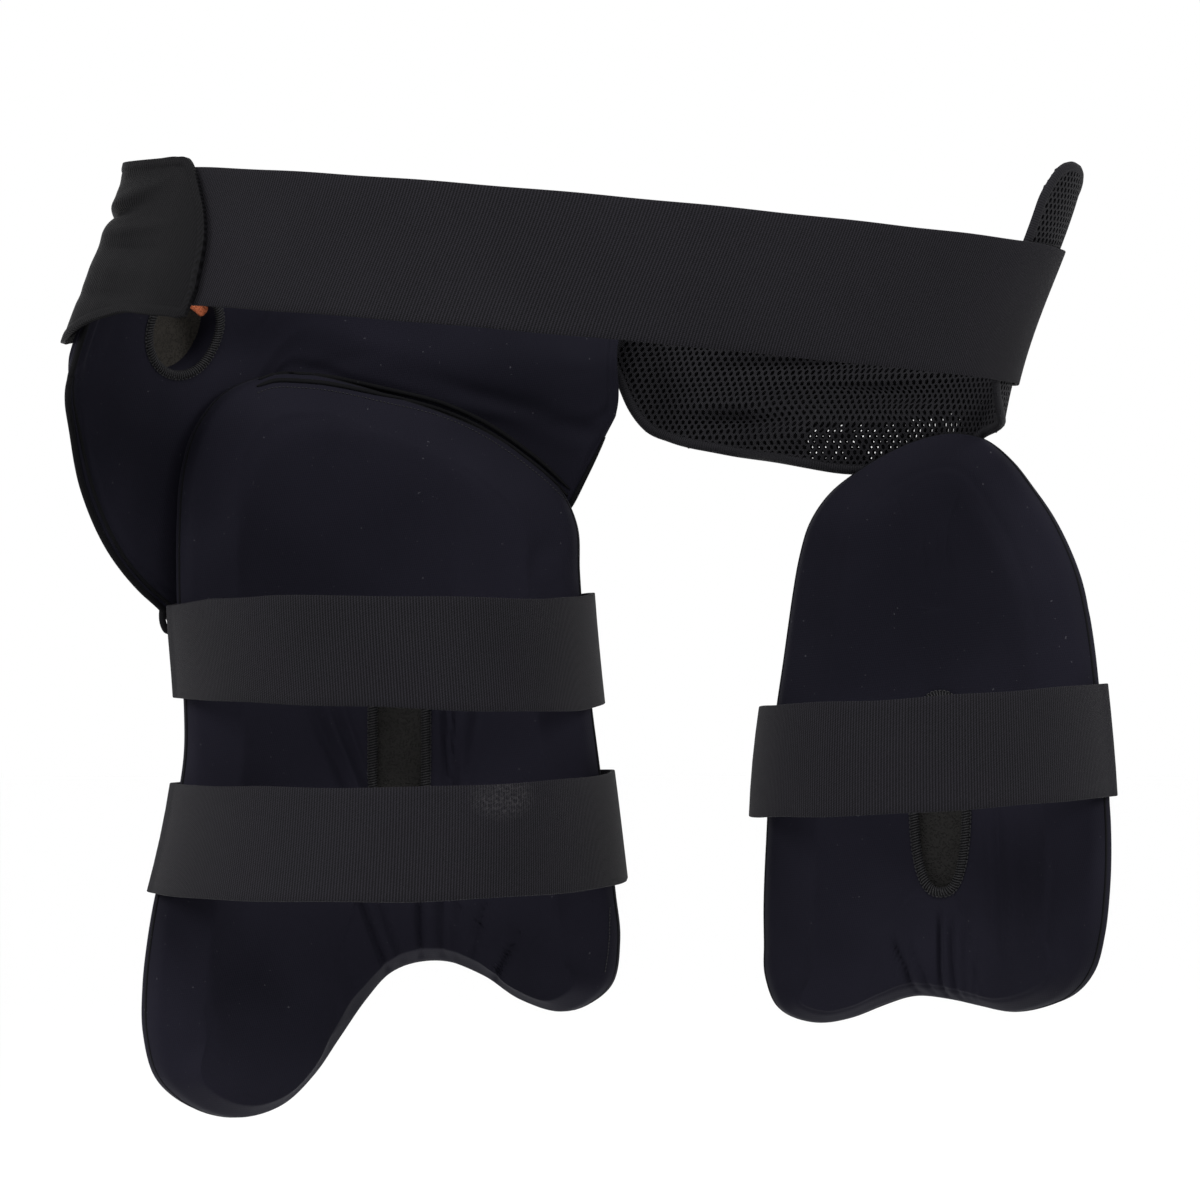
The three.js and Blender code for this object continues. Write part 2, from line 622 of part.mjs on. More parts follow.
// The hip pad's outside, or its foam's form grown by a distance on every side. Both stand on one
// grid: the foam leaves out the first and the last line, the upper edge and the cloth below it.
function hipBody(foamOnly, grow) {
  const foamRows = [0, 0.1, 0.3, 0.5, 0.66, 0.8, 0.91, 1];
  const rows = foamOnly ? foamRows : ["edge", ...foamRows, 1.5, 2];
  const lines = foamOnly ? HIP_PAD_LINES.slice(1, -1) : HIP_PAD_LINES;
  const [first, last] = [HIP_PAD_LINES[1].degrees, HIP_PAD_LINES.at(-2).degrees];
  const degreesPerMm = 1 / (LOOP_HALF_DEPTH * DEGREE);
  const edgeFoam = HIP_PAD_EDGE - 2 * COVER_WALL - 2 * SEAT;
  const fullFoam = HIP_PAD_THICKNESS - 2 * COVER_WALL - 2 * SEAT;
  const hem = 3 * COVER_WALL;
  return sheetBody(lines.length, rows.length, (i, j, side) => {
    const line = lines[i];
    const row = rows[j];
    const top = beltTop(line.degrees);
    let degrees = line.degrees;
    let height = row === "edge" ? top : THREE.MathUtils.lerp(top - hem, line.foam, row);
    if (row > 1) height = THREE.MathUtils.lerp(line.foam, line.cloth, row - 1);
    if (foamOnly) {
      if (i === 0) degrees += grow * degreesPerMm;
      if (i === lines.length - 1) degrees -= grow * degreesPerMm;
      if (j === 0) height += grow;
      if (j === rows.length - 1) {
        const step = footStep(i + 1, grow);
        degrees += step.degrees;
        height += step.height;
      }
    }
    const fromEnd = Math.min(first - line.degrees, line.degrees - last);
    const swell = smooth(Math.min(row, 1 - row) * 4) * smooth(fromEnd / 10);
    const foam = THREE.MathUtils.lerp(edgeFoam, fullFoam, swell);
    const besideFoam = row <= 1 && fromEnd >= 0;
    const cloth = besideFoam ? foam / 2 + SEAT + COVER_WALL : COVER_WALL;
    const half = foamOnly ? foam / 2 + grow : cloth;
    return offSurface(hipSurface, degrees, height, side * half, awayFromLoop);
  });
}

function hipPieces() {
  const hole = { degrees: 148, height: -0.115 * HIP_PAD_HEIGHT };
  const outside = solidOf(hipBody(false, 0));
  const pocket = solidOf(hipBody(true, SEAT));
  const depth = HIP_PAD_THICKNESS;
  const drill = new THREE.CylinderGeometry(HIP_HOLE_RADIUS, HIP_HOLE_RADIUS, depth, 30);
  const near = offSurface(hipSurface, hole.degrees, hole.height, -0.75 * depth, awayFromLoop);
  const far = offSurface(hipSurface, hole.degrees, hole.height, 0, awayFromLoop);
  const axis = near.clone().sub(far).normalize();
  drill.applyQuaternion(new THREE.Quaternion().setFromUnitVectors(new THREE.Vector3(0, 1, 0), axis));
  drill.translate(near.x, near.y, near.z);
  const cover = outside.subtract(pocket).subtract(solidOf(drill));
  return [
    namedMesh("hip_cover", geometryOf(cover), CLOTH),
    namedMesh("hip_foam", hipBody(true, 0), FOAM),
  ];
}

// Mesh panel: outside the hip pad's end at the front, then on the loop, with its lower part lying
// on the inner thigh pad's outer face, and curled round the right hip to its tongue.
function meshSurface(degrees, height) {
  const start = MESH_LINES[0].degrees;
  const clearOfHipPad = 0.82 * HIP_PAD_THICKNESS + MESH_THICKNESS / 2 + CLEARANCE;
  const onLoop = MESH_THICKNESS;
  const off = THREE.MathUtils.lerp(onLoop, clearOfHipPad, smooth((degrees - start + 16) / 10));
  const point = loopPoint(degrees, height, off);
  for (const fold of MESH_FOLDS) {
    const along = 1 - Math.abs(degrees - fold.middle) / fold.reach;
    const across = (height / MESH_DROP - fold.height) / fold.spread;
    const push = smooth(along) * Math.exp(-across * across) * fold.depth * MESH_THICKNESS;
    point.addScaledVector(awayFromLoop(degrees), -push);
  }
  const onPad = inFrontOfPad(innerPad, point.x, SEAT + MESH_THICKNESS / 2);
  const low = smooth((0.66 * INNER_PAD_TOP - height) / (-0.28 * INNER_PAD_TOP));
  const near = smooth((degrees - 6) / 8) * smooth((64 - degrees) / 12);
  point.y = THREE.MathUtils.lerp(point.y, onPad, low * near);
  return point;
}

function meshPanelBody() {
  const rows = [0, 0.25, 0.45, 0.56, 0.66, 0.74, 0.82, 0.9, 1];
  const lines = MESH_LINES;
  return sheetBody(lines.length, rows.length, (i, j, side) => {
    const edge = beltTop(lines[i].degrees);
    const top = THREE.MathUtils.lerp(edge, TONGUE_RISE, lines[i].rise);
    const height = THREE.MathUtils.lerp(top, -lines[i].drop * MESH_DROP, rows[j]);
    const half = MESH_THICKNESS / 2;
    return offSurface(meshSurface, lines[i].degrees, height, side * half, awayFromLoop);
  });
}

function tabBody() {
  const rows = [0, 0.25, 0.5, 0.75, 1];
  return sheetBody(TAB_LINES.length, rows.length, (i, j, side) => {
    const { degrees, upper, lower, off } = TAB_LINES[i];
    const height = THREE.MathUtils.lerp(upper, lower, rows[j]) * TAB_HEIGHT;
    const away = off * HIP_PAD_THICKNESS + SEAT + (side * TAB_THICKNESS) / 2;
    return loopPoint(degrees, height, away);
  });
}

function waistStrapBody() {
  const first = WAIST_STRAP_LINES[0].degrees;
  const last = WAIST_STRAP_LINES[WAIST_STRAP_LINES.length - 1].degrees;
  const steps = 44;
  const rows = [0.5, 0, -0.5];
  return sheetBody(steps + 1, rows.length, (i, j, side) => {
    const degrees = THREE.MathUtils.lerp(first, last, i / steps);
    const off = tableAt(WAIST_STRAP_LINES, "degrees", degrees, "off") * MESH_THICKNESS;
    const middle = WAIST_STRAP_TILT * LOOP_HALF_WIDTH * Math.cos(degrees * DEGREE);
    const height = middle + rows[j] * WAIST_STRAP_WIDTH;
    return loopPoint(degrees, height, off + (side * ELASTIC) / 2);
  });
}

// Piping along the seam between the hip pad and the top of the thigh pad.
function hemPipingBody() {
  const path = THIGH_PAD_OUTLINE.slice(0, 4).map(({ across, down }) => {
    const x = across * THIGH_PAD_WIDTH;
    const z = THIGH_PAD_TOP - down * THIGH_PAD_HEIGHT;
    const away = HEM_PIPING / 2 + SEAT;
    return thighPad.on(x + 0.35 * away, z + away, -HEM_PIPING / 2 - COVER_WALL);
  });
  const route = new THREE.CatmullRomCurve3(path);
  const round = new THREE.Shape();
  round.absarc(0, 0, HEM_PIPING / 2, 0, 2 * Math.PI);
  return new THREE.ExtrudeGeometry(round, {
    steps: 26,
    curveSegments: 4,
    extrudePath: route,
    bevelEnabled: false,
  });
}

// A pad with its straps, in its place at the belt.
function padGroup(pad, prefix, slot, straps) {
  const group = new THREE.Group();
  group.position.set(...pad.place);
  group.rotation.z = pad.turn;
  group.add(...padPieces(pad, prefix, slot));
  for (const strap of straps) group.add(namedMesh(strap.name, strapBody(pad, strap), WEBBING));
  return group;
}

const thighGroup = padGroup(thighPad, "thigh_", THIGH_SLOT, THIGH_STRAPS);
thighGroup.add(namedMesh("hem_piping", hemPipingBody(), CLOTH));
const innerGroup = padGroup(innerPad, "inner_thigh_", INNER_SLOT, INNER_STRAPS);

const thighGuard = new THREE.Group();
thighGuard.add(...hipPieces());
thighGuard.add(namedMesh("hip_tab", tabBody(), TAB_CLOTH));
thighGuard.add(namedMesh("waist_strap", waistStrapBody(), WEBBING));
thighGuard.add(namedMesh("mesh_panel", meshPanelBody(), NET));
thighGuard.add(thighGroup, innerGroup);

export default thighGuard;
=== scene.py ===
import math

import bpy
import numpy as np
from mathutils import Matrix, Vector


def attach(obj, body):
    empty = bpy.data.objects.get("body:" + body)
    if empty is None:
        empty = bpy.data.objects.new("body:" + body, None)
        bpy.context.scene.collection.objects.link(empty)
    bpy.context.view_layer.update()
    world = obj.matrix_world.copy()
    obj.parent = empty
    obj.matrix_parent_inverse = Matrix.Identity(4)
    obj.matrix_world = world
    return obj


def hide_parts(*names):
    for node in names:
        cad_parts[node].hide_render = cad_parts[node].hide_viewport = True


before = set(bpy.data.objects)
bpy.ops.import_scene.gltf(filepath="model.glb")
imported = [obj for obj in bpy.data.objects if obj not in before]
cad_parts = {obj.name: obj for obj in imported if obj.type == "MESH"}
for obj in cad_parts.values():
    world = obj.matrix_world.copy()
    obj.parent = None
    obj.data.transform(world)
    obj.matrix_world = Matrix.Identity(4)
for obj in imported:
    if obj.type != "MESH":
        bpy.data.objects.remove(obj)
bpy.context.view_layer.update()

# Studio: a pale floor well below the guard, which hangs as it is worn, with large soft lights to
# its left, to its right and above. The camera stands level behind the wearer, 2.4 m from the waist.
FLOOR_HEIGHT = -0.75
FLOOR_RADIUS = 16
LIGHT_SPREAD = math.radians(70)
LIGHT_AIM = Vector((0, 0, -0.15))
CAMERA_PLACE = (0.0095, -2.4, -0.145)

bpy.ops.object.select_all(action="DESELECT")
bpy.ops.mesh.primitive_circle_add(
    vertices=96, radius=FLOOR_RADIUS, fill_type="NGON", location=(0, 0, FLOOR_HEIGHT))
floor = bpy.context.object
floor.name = "studio_floor"
floor_paint = bpy.data.materials.new("pale_floor")
floor_paint.use_nodes = True
floor_sockets = floor_paint.node_tree.nodes["Principled BSDF"].inputs
floor_sockets["Base Color"].default_value = (1, 1, 1, 1)
floor_sockets["Roughness"].default_value = 1
floor.data.materials.append(floor_paint)

room = bpy.data.worlds.new("white_room")
bpy.context.scene.world = room
room.use_nodes = True
room.node_tree.nodes["Background"].inputs["Color"].default_value = (1, 1, 1, 1)
room.node_tree.nodes["Background"].inputs["Strength"].default_value = 1.0
bpy.context.scene.view_settings.view_transform = "Standard"


def soft_light(name, place, size, power):
    light = bpy.data.lights.new(name, "AREA")
    light.shape = "DISK"
    light.size = size
    light.energy = power
    light.spread = LIGHT_SPREAD
    lamp = bpy.data.objects.new(name, light)
    bpy.context.scene.collection.objects.link(lamp)
    lamp.location = place
    lamp.rotation_euler = (LIGHT_AIM - Vector(place)).to_track_quat("-Z", "Y").to_euler()
    lamp.visible_camera = False


soft_light("window_left", (-2.1, -1.3, 1.0), 1.2, 10)
soft_light("window_right", (2.2, -1.2, 0.9), 1.0, 8)
soft_light("window_above", (-0.2, -1.5, 1.9), 1.2, 10)

camera = bpy.data.objects.new("camera", bpy.data.cameras.new("camera"))
bpy.context.scene.collection.objects.link(camera)
camera.data.sensor_width = 36
camera.data.lens = 160
camera.location = CAMERA_PLACE
camera.rotation_euler = (math.pi / 2, 0, 0)
bpy.context.scene.camera = camera

# Waist strap: wide woven elastic, ribbed across its length, that runs behind the wearer from
# under the hip tab round to the outside of the mesh panel's end, where it is sewn down.
LOOP_HALF_WIDTH = 207
LOOP_HALF_DEPTH = 95
HIP_LEAN = 0.4
HIP_LEAN_REACH = 26
TUCK = 15
TUCK_HEIGHT = 70
BELT_HALF_HEIGHT = 28
BELT_SLOPE = -0.088
WAIST_STRAP_WIDTH = 60
ELASTIC = 2
MESH_THICKNESS = 3
WAIST_STRAP_LENGTH = 530
WAIST_RIB = 0.00122
STRAP_EDGE_ROUND = 0.5
WAIST_STRAP_ENDS = (206, 385)
# Degrees round the waist, and how far out the strap lies there in thicknesses of the mesh panel.
WAIST_STRAP_OFF = (
    [206, 295, 303, 311, 319, 327, 335, 345, 385],
    [0, 0, 0.15, 0.55, 1.1, 1.65, 2.0, 2.12, 2.15])


def smooth(share):
    share = np.clip(share, 0, 1)
    return share * share * (3 - 2 * share)


def lerp(a, b, share):
    return a + (b - a) * share


def length_along(points):
    """How far along a line each of its points lies."""
    return np.concatenate([[0], np.cumsum(np.linalg.norm(np.diff(points, axis=0), axis=1))])


def soft_step(t, step, start, start_slope, end, end_slope):
    """A smooth line from start to end over a step with the slopes at its ends; t is from 0 to 1."""
    line = (2 * t**3 - 3 * t**2 + 1) * start + (t**3 - 2 * t**2 + t) * step * start_slope
    return line + (3 * t**2 - 2 * t**3) * end + (t**3 - t**2) * step * end_slope


def loop_point(degrees, height, off):
    """Points round the waist loop in mm, off its oval by a distance; the belt leans at the hips."""
    angle = np.radians(degrees)
    lean = HIP_LEAN_REACH * np.tanh(HIP_LEAN * height / HIP_LEAN_REACH)
    depth = LOOP_HALF_DEPTH - TUCK * smooth((-BELT_HALF_HEIGHT - height) / TUCK_HEIGHT)
    x = (LOOP_HALF_WIDTH + off) * np.cos(angle) + lean
    return np.stack(np.broadcast_arrays(x, (depth + off) * np.sin(angle), height), -1)


def belt_slope(degrees):
    return BELT_SLOPE * LOOP_HALF_WIDTH * np.cos(np.radians(degrees))


def unit(vectors):
    return vectors / np.maximum(np.linalg.norm(vectors, axis=-1, keepdims=True), 1e-12)


def off_surface(surface, u, v, distance):
    """Points off a surface of the belt, along its outward normal, and those normals."""
    step = 0.05
    along_u = surface(u + step, v) - surface(u - step, v)
    along_v = surface(u, v + step) - surface(u, v - step)
    normal = unit(np.cross(along_u, along_v))
    away = np.stack([np.cos(np.radians(u)), np.sin(np.radians(u))], -1)
    normal = normal * np.sign((normal[..., :2] * away).sum(-1, keepdims=True))
    return surface(u, v) + normal * np.asarray(distance)[..., None], normal


def keep_only(piece):
    bpy.ops.object.select_all(action="DESELECT")
    piece.select_set(True)
    bpy.context.view_layer.objects.active = piece


def finish_modifiers(piece):
    keep_only(piece)
    for modifier in list(piece.modifiers):
        bpy.ops.object.modifier_apply(modifier=modifier.name)


def points_of(piece):
    flat = np.zeros(len(piece.data.vertices) * 3)
    piece.data.vertices.foreach_get("co", flat)
    return flat.reshape(-1, 3)


def move_points(piece, points):
    piece.data.vertices.foreach_set("co", np.ascontiguousarray(points, dtype=np.float32).ravel())
    piece.data.update()


def faces_outwards(piece):
    keep_only(piece)
    bpy.ops.object.mode_set(mode="EDIT")
    bpy.ops.mesh.select_all(action="SELECT")
    bpy.ops.mesh.normals_make_consistent(inside=False)
    bpy.ops.object.mode_set(mode="OBJECT")


def new_piece(name, points, faces):
    """A piece of points in mm and the faces that join them."""
    mesh = bpy.data.meshes.new(name)
    mesh.from_pydata((points / 1000).tolist(), [], faces)
    piece = bpy.data.objects.new(name, mesh)
    bpy.context.scene.collection.objects.link(piece)
    return piece


def ring_faces(rings, count):
    """The faces between closed rings of points, each of the same count."""
    faces = []
    for ring in range(rings - 1):
        a = ring * count + np.arange(count)
        b = ring * count + (np.arange(count) + 1) % count
        faces += np.stack([a, b, b + count, a + count], 1).tolist()
    return faces


def lay_out(piece, layer, layout):
    """Sets the piece's UV map to each point's place on the cloth laid flat, in metres."""
    corners = np.zeros(len(piece.data.loops), int)
    piece.data.loops.foreach_get("vertex_index", corners)
    layer.data.foreach_set("uv", layout[corners].ravel())


def dress(piece, material):
    """Gives a piece its material and hangs it from the root body's empty; every piece rides with
    the part.
    """
    piece.data.materials.append(material)
    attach(piece, "root")


def grid_sheet(name, columns, rows, place, size):
    """A flat grid laid in its place: place takes shares along and across and gives points in mm.
    Its UV map is in metres along and across the cloth, which has its size in mm."""
    bpy.ops.object.select_all(action="DESELECT")
    bpy.ops.mesh.primitive_grid_add(x_subdivisions=columns, y_subdivisions=rows, size=1)
    piece = bpy.context.object
    piece.name = name
    piece.data.name = name
    shares = points_of(piece)[:, :2] + 0.5
    move_points(piece, place(shares[:, 0], shares[:, 1]) / 1000)
    lay_out(piece, piece.data.uv_layers[0], shares * np.array(size) / 1000)
    return piece


def cloth_edges(piece, thickness, round_edge):
    """The sheet's thickness in mm, with softly rounded edges."""
    wall = piece.modifiers.new("thickness", "SOLIDIFY")
    wall.thickness = thickness / 1000
    wall.offset = 0
    edge = piece.modifiers.new("edges", "BEVEL")
    edge.width = round_edge / 1000
    edge.segments = 2
    edge.limit_method = "ANGLE"
    edge.angle_limit = math.radians(60)
    finish_modifiers(piece)
    faces_outwards(piece)
    bpy.ops.object.shade_smooth_by_angle(angle=math.radians(50))


class Reading:
    """A value or colour on its way through a finish; an expression on readings adds Math nodes."""

    def __init__(self, finish, socket):
        self.finish = finish
        self.socket = socket

    def maths(self, operation, *values):
        return self.finish.node("ShaderNodeMath", {"operation": operation}, dict(enumerate(values)))

    def __add__(self, other):
        return self.maths("ADD", self, other)

    __radd__ = __add__

    def __sub__(self, other):
        return self.maths("SUBTRACT", self, other)

    def __rsub__(self, other):
        return self.maths("SUBTRACT", other, self)

    def __mul__(self, other):
        return self.maths("MULTIPLY", self, other)

    __rmul__ = __mul__

    def __truediv__(self, other):
        return self.maths("DIVIDE", self, other)

    def squared(self):
        return self.maths("POWER", self, 2)

    def wave(self, pitch):
        """Ridges from 0 to 1, a pitch apart in metres."""
        return self.maths("SINE", self * (2 * math.pi / pitch)) * 0.5 + 0.5

    def within(self, low, high):
        """From 0 at low to 1 at high, held at the ends."""
        values = {"Value": self, "From Min": low, "From Max": high}
        return self.finish.node(
            "ShaderNodeMapRange", {"interpolation_type": "SMOOTHSTEP"}, values)


class Finish:
    """A material for one finish: its Principled shader and the nodes that feed it."""

    def __init__(self, name, roughness, gloss, sheen=0.0, sheen_colour=(1, 1, 1)):
        self.material = bpy.data.materials.new(name)
        self.material.use_nodes = True
        self.tree = self.material.node_tree
        self.shader = self.tree.nodes["Principled BSDF"]
        sockets = self.shader.inputs
        sockets["Roughness"].default_value = roughness
        sockets["Specular IOR Level"].default_value = gloss
        sockets["Sheen Weight"].default_value = sheen
        sockets["Sheen Tint"].default_value = (*sheen_colour, 1)
        sockets["Sheen Roughness"].default_value = 0.45

    def node(self, kind, settings, sockets, output=0):
        made = self.tree.nodes.new(kind)
        for key, value in settings.items():
            setattr(made, key, value)
        for key, value in sockets.items():
            named = [s for s in made.inputs if s.identifier == key or s.name == key]
            socket = made.inputs[key] if isinstance(key, int) else named[0]
            if isinstance(value, Reading):
                self.tree.links.new(value.socket, socket)
            else:
                socket.default_value = value
        return Reading(self, made.outputs[output])

    def places(self, source="Object"):
        """X, Y and Z of the piece's own coordinates, or U and V of its UV map, in metres."""
        where = self.node("ShaderNodeTexCoord", {}, {}, source)
        return [
            self.node("ShaderNodeSeparateXYZ", {}, {"Vector": where}, axis) for axis in range(3)]

    def noise(self, scale, detail=2.0, source="Object"):
        where = self.node("ShaderNodeTexCoord", {}, {}, source)
        sockets = {"Vector": where, "Scale": scale, "Detail": detail}
        return self.node("ShaderNodeTexNoise", {}, sockets)

    def blend(self, share, first, second):
        a, b = (value if isinstance(value, Reading) else (*value, 1) for value in (first, second))
        sockets = {"Factor_Float": share, "A_Color": a, "B_Color": b}
        return self.node("ShaderNodeMix", {"data_type": "RGBA"}, sockets, 2)

    def feed(self, socket, value):
        self.tree.links.new(value.socket, self.shader.inputs[socket])

    def colour(self, share, dark, light):
        self.feed("Base Color", self.blend(share, dark, light))

    def relief(self, height, depth, strength):
        """Bumps from a height of 0 to 1, with its depth in metres."""
        sockets = {"Height": height, "Distance": depth, "Strength": strength}
        self.feed("Normal", self.node("ShaderNodeBump", {}, sockets))


def elastic_finish(name, rib, highlight_patches):
    """Woven elastic: ribs across the strap, with fine threads over and under them. The patches are
    painted highlights, pale where light falls: along, across, half width and half height in metres."""
    finish = Finish(name, 0.75, 0.05, 0.01)
    u, v, _ = finish.places("UV")
    fuzz = finish.noise(1100, 3, "UV")
    ribs = (u + fuzz * (rib * 0.25)).wave(rib)
    threads = (v + u * 0.5).wave(rib * 0.8)
    relief = ribs * 0.6 + threads * 0.2 + fuzz * 0.4
    finish.relief(relief, 0.0004, 1.0)
    tone = relief.within(0.3, 0.95) * 0.85 + finish.noise(14, 4) * 0.3
    colour = finish.blend(tone, (0.0007, 0.0007, 0.001), (0.0094, 0.0088, 0.0112))
    # Painted highlight: pale patches blended into the strap's colour where light falls on it.
    for along, across, wide, high in highlight_patches:
        far = ((u - along) / wide).squared() + ((v - across) / high).squared()
        painted_highlight = (1 - far.within(0.0, 1.0)) * finish.noise(700, 4, "UV").within(0.35, 0.75)
        colour = finish.blend(painted_highlight * 0.22, colour, (0.06, 0.057, 0.06))
    finish.feed("Base Color", colour)
    finish.feed("Roughness", relief.within(0, 1) * 0.15 + 0.66)
    return finish.material


def waist_strap_place(along, across):
    degrees = lerp(*WAIST_STRAP_ENDS, along)
    off = np.interp(degrees, *WAIST_STRAP_OFF) * MESH_THICKNESS
    edge = np.abs(across - 0.5) * 2
    ease = 0.12 * edge**4 * np.sin(along * 61 + across * 2)
    height = belt_slope(degrees) + (0.5 - across) * WAIST_STRAP_WIDTH + ease
    return loop_point(degrees, height, off)


waist_strap = grid_sheet(
    "waist_elastic_strap", 220, 16, waist_strap_place, (WAIST_STRAP_LENGTH, WAIST_STRAP_WIDTH))
cloth_edges(waist_strap, ELASTIC, STRAP_EDGE_ROUND)
dress(waist_strap, elastic_finish("ribbed_waist_elastic", WAIST_RIB, []))
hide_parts("waist_strap")

# Hip tab: a doubled woven tab on the left hip, with hook tape under it, that closes over the
# strap's end. Its border is turned in and sewn down with one row of stitches.
TAB_HEIGHT = 70
TAB_THICKNESS = 2.2
TAB_EDGE_ROUND = 0.7
TAB_BORDER = 3.6
TAB_HEM_RISE = 0.7
TAB_HEM_GROOVE = 0.5
TAB_STITCH = 1.15
TAB_THREAD = 0.24
TAB_SEWN_FROM = 45
TAB_RIB = 0.0013
SEAT = 0.8
HIP_PAD_THICKNESS = 12
TAB_ENDS = (150, 218.8)
# Degrees, upper and lower edge as shares of the height, and how far out in hip pad thicknesses.
TAB_LINES = np.array([
    [150, 0.7, -0.3, 1.21], [158, 0.72, -0.34, 1.21], [166, 0.73, -0.38, 1.19],
    [173, 0.73, -0.41, 1.14], [179, 0.73, -0.42, 1.08], [185, 0.73, -0.38, 0.97],
    [191, 0.73, -0.31, 0.62], [197, 0.73, -0.27, 0.3], [203, 0.73, -0.25, 0.19],
    [206.5, 0.71, -0.26, 0.19], [209, 0.63, -0.27, 0.19], [212, 0.49, -0.28, 0.19],
    [215, 0.32, -0.29, 0.19], [217, 0.15, -0.3, 0.19], [218.8, -0.12, -0.29, 0.19],
])
# Creases of the tab where it is folded over the hip: degrees, height, reach in degrees, spread in
# height, slope in mm a degree, and how far each stands in (less than 0: out).
TAB_CREASES = [
    (182, 27, 18, 2.6, 0.25, 3.6), (190, 35, 15, 3.6, 0.5, -1.6),
    (192, 20, 18, 3.0, 0.05, -1.3), (194, 11, 17, 3.0, -0.15, 1.2),
    (193, 2, 20, 4.2, -0.25, -0.8), (190, -9, 22, 3.0, -0.1, 0.7),
    (206, 2, 9, 16, 0, 0.4), (186, 43, 12, 3, 0.2, 0.8),
]


def soft_table(table, column, at):
    """A column of a table, joined by a smooth line through its rows."""
    keys, values = table[:, 0], table[:, column]
    if keys[0] > keys[-1]:
        keys, values = keys[::-1], values[::-1]
    slopes = np.gradient(values, keys)
    at = np.clip(at, keys[0], keys[-1])
    k = np.clip(np.searchsorted(keys, at) - 1, 0, len(keys) - 2)
    step = keys[k + 1] - keys[k]
    t = (at - keys[k]) / step
    return soft_step(t, step, values[k], slopes[k], values[k + 1], slopes[k + 1])


tab_turn = np.linspace(*TAB_ENDS, 600)
tab_line = loop_point(tab_turn, 0 * tab_turn, 5)
tab_at = length_along(tab_line)


def tab_surface(at, height, lift=0.0):
    """Points of the tab's middle, at lengths along it and heights in mm."""
    degrees = np.interp(at, tab_at, tab_turn)
    off = soft_table(TAB_LINES, 3, degrees) * HIP_PAD_THICKNESS + SEAT + lift
    for middle, crease_height, reach, spread, slope, depth in TAB_CREASES:
        fold = (height - crease_height - slope * (degrees - middle)) / spread
        off = off - depth * np.exp(-fold * fold) * smooth(1 - np.abs(degrees - middle) / reach)
    return loop_point(degrees, height, off)


def tab_height(at, across):
    degrees = np.interp(at, tab_at, tab_turn)
    upper, lower = (soft_table(TAB_LINES, column, degrees) for column in (1, 2))
    return lerp(upper, lower, across) * TAB_HEIGHT


run = np.linspace(0, tab_at[-1], 300)
tab_edge = np.concatenate([
    np.stack([run, tab_height(run, 0)], 1),
    np.stack([np.full(12, run[-1]), tab_height(run[-1], np.linspace(0, 1, 12))], 1)[1:-1],
    np.stack([run, tab_height(run, 1)], 1)[::-1],
])


def from_tab_edge(at, height):
    """How far places on the tab are from its upper, right and lower edges, in mm."""
    return np.hypot(at[:, None] - tab_edge[:, 0], height[:, None] - tab_edge[:, 1]).min(1)


def tab_place(along, across):
    at = along * tab_at[-1]
    height = tab_height(at, across)
    inside = from_tab_edge(at, height)
    hem = TAB_HEM_RISE * smooth(TAB_BORDER + 0.9 - inside)
    groove = TAB_HEM_GROOVE * np.exp(-((inside - TAB_BORDER) / 0.6) ** 2)
    return tab_surface(at, height, hem - groove)


def tubes(name, paths, normals, wide, high, sides=8, closed=False, tapered=False):
    """Threads, cords or bindings along lines in mm, oval in section: wide along the cloth and
    high off it. paths and normals are lists of equal counts of points."""
    paths, normals = np.asarray(paths, float), np.asarray(normals, float)
    runs, count = paths.shape[:2]
    if closed:
        along = unit(np.roll(paths, -1, 1) - np.roll(paths, 1, 1))
    else:
        along = unit(np.gradient(paths, axis=1))
    across = unit(np.cross(along, normals))
    up = np.cross(across, along)
    angle = 2 * np.pi * np.arange(sides) / sides
    share = np.linspace(-1, 1, count)
    width = np.sqrt(1 - 0.92 * share**6) if tapered else np.ones(count)
    ring = across[:, :, None] * np.cos(angle)[:, None] * wide
    ring = ring + up[:, :, None] * np.sin(angle)[:, None] * high
    points = paths[:, :, None] + ring * width[None, :, None, None]
    k, j = np.meshgrid(np.arange(count if closed else count - 1), np.arange(sides), indexing="ij")
    k, j = k.ravel(), j.ravel()
    after, beside = (k + 1) % count, (j + 1) % sides
    quads = np.stack([
        k * sides + j, k * sides + beside, after * sides + beside, after * sides + j], 1)
    faces = [face for run in range(runs) for face in (quads + run * count * sides).tolist()]
    if not closed:
        for run in range(runs):
            start = run * count * sides
            faces.append(list(range(start, start + sides)))
            faces.append(list(range(start + (count - 1) * sides, start + count * sides)))
    piece = new_piece(name, points.reshape(-1, 3), faces)
    around = np.arange(sides) * (wide + high) * 3 / sides
    layout = np.stack([
        np.tile(np.repeat(length_along(paths[0]), sides), runs),
        np.tile(around, runs * count)], 1)
    lay_out(piece, piece.data.uv_layers.new(name="cloth"), layout / 1000)
    faces_outwards(piece)
    bpy.ops.object.shade_smooth()
    return piece


def evenly(path, normals, pitch):
    """Points a pitch apart along a line in mm, and the cloth's normals there."""
    at = length_along(path)
    places = np.linspace(0, at[-1], max(int(at[-1] / pitch), 2) + 1)
    spots, ups = (
        [np.interp(places, at, line[:, k]) for k in range(3)] for line in (path, normals))
    return np.stack(spots, 1), unit(np.stack(ups, 1))


def stitch_row(name, path, normals, pitch, thread, gap=0.25):
    """A row of stitches: each rises from its needle hole and dives into the next."""
    spots, ups = evenly(path, normals, pitch / 4)
    count = (len(spots) - 1) // 4
    runs, upward = [], []
    for k in range(count):
        start, end = spots[4 * k], spots[4 * k + 4]
        up = ups[4 * k + 2]
        start, end = lerp(start, end, gap / 2), lerp(start, end, 1 - gap / 2)
        t = np.linspace(0, 1, 5)[:, None]
        arch = np.sin(np.pi * t) * thread * 1.5 - thread * 0.7
        runs.append(lerp(start, end, t) + up * arch)
        upward.append(np.tile(up, (5, 1)))
    return tubes(name, runs, upward, thread, thread, 5, tapered=True)


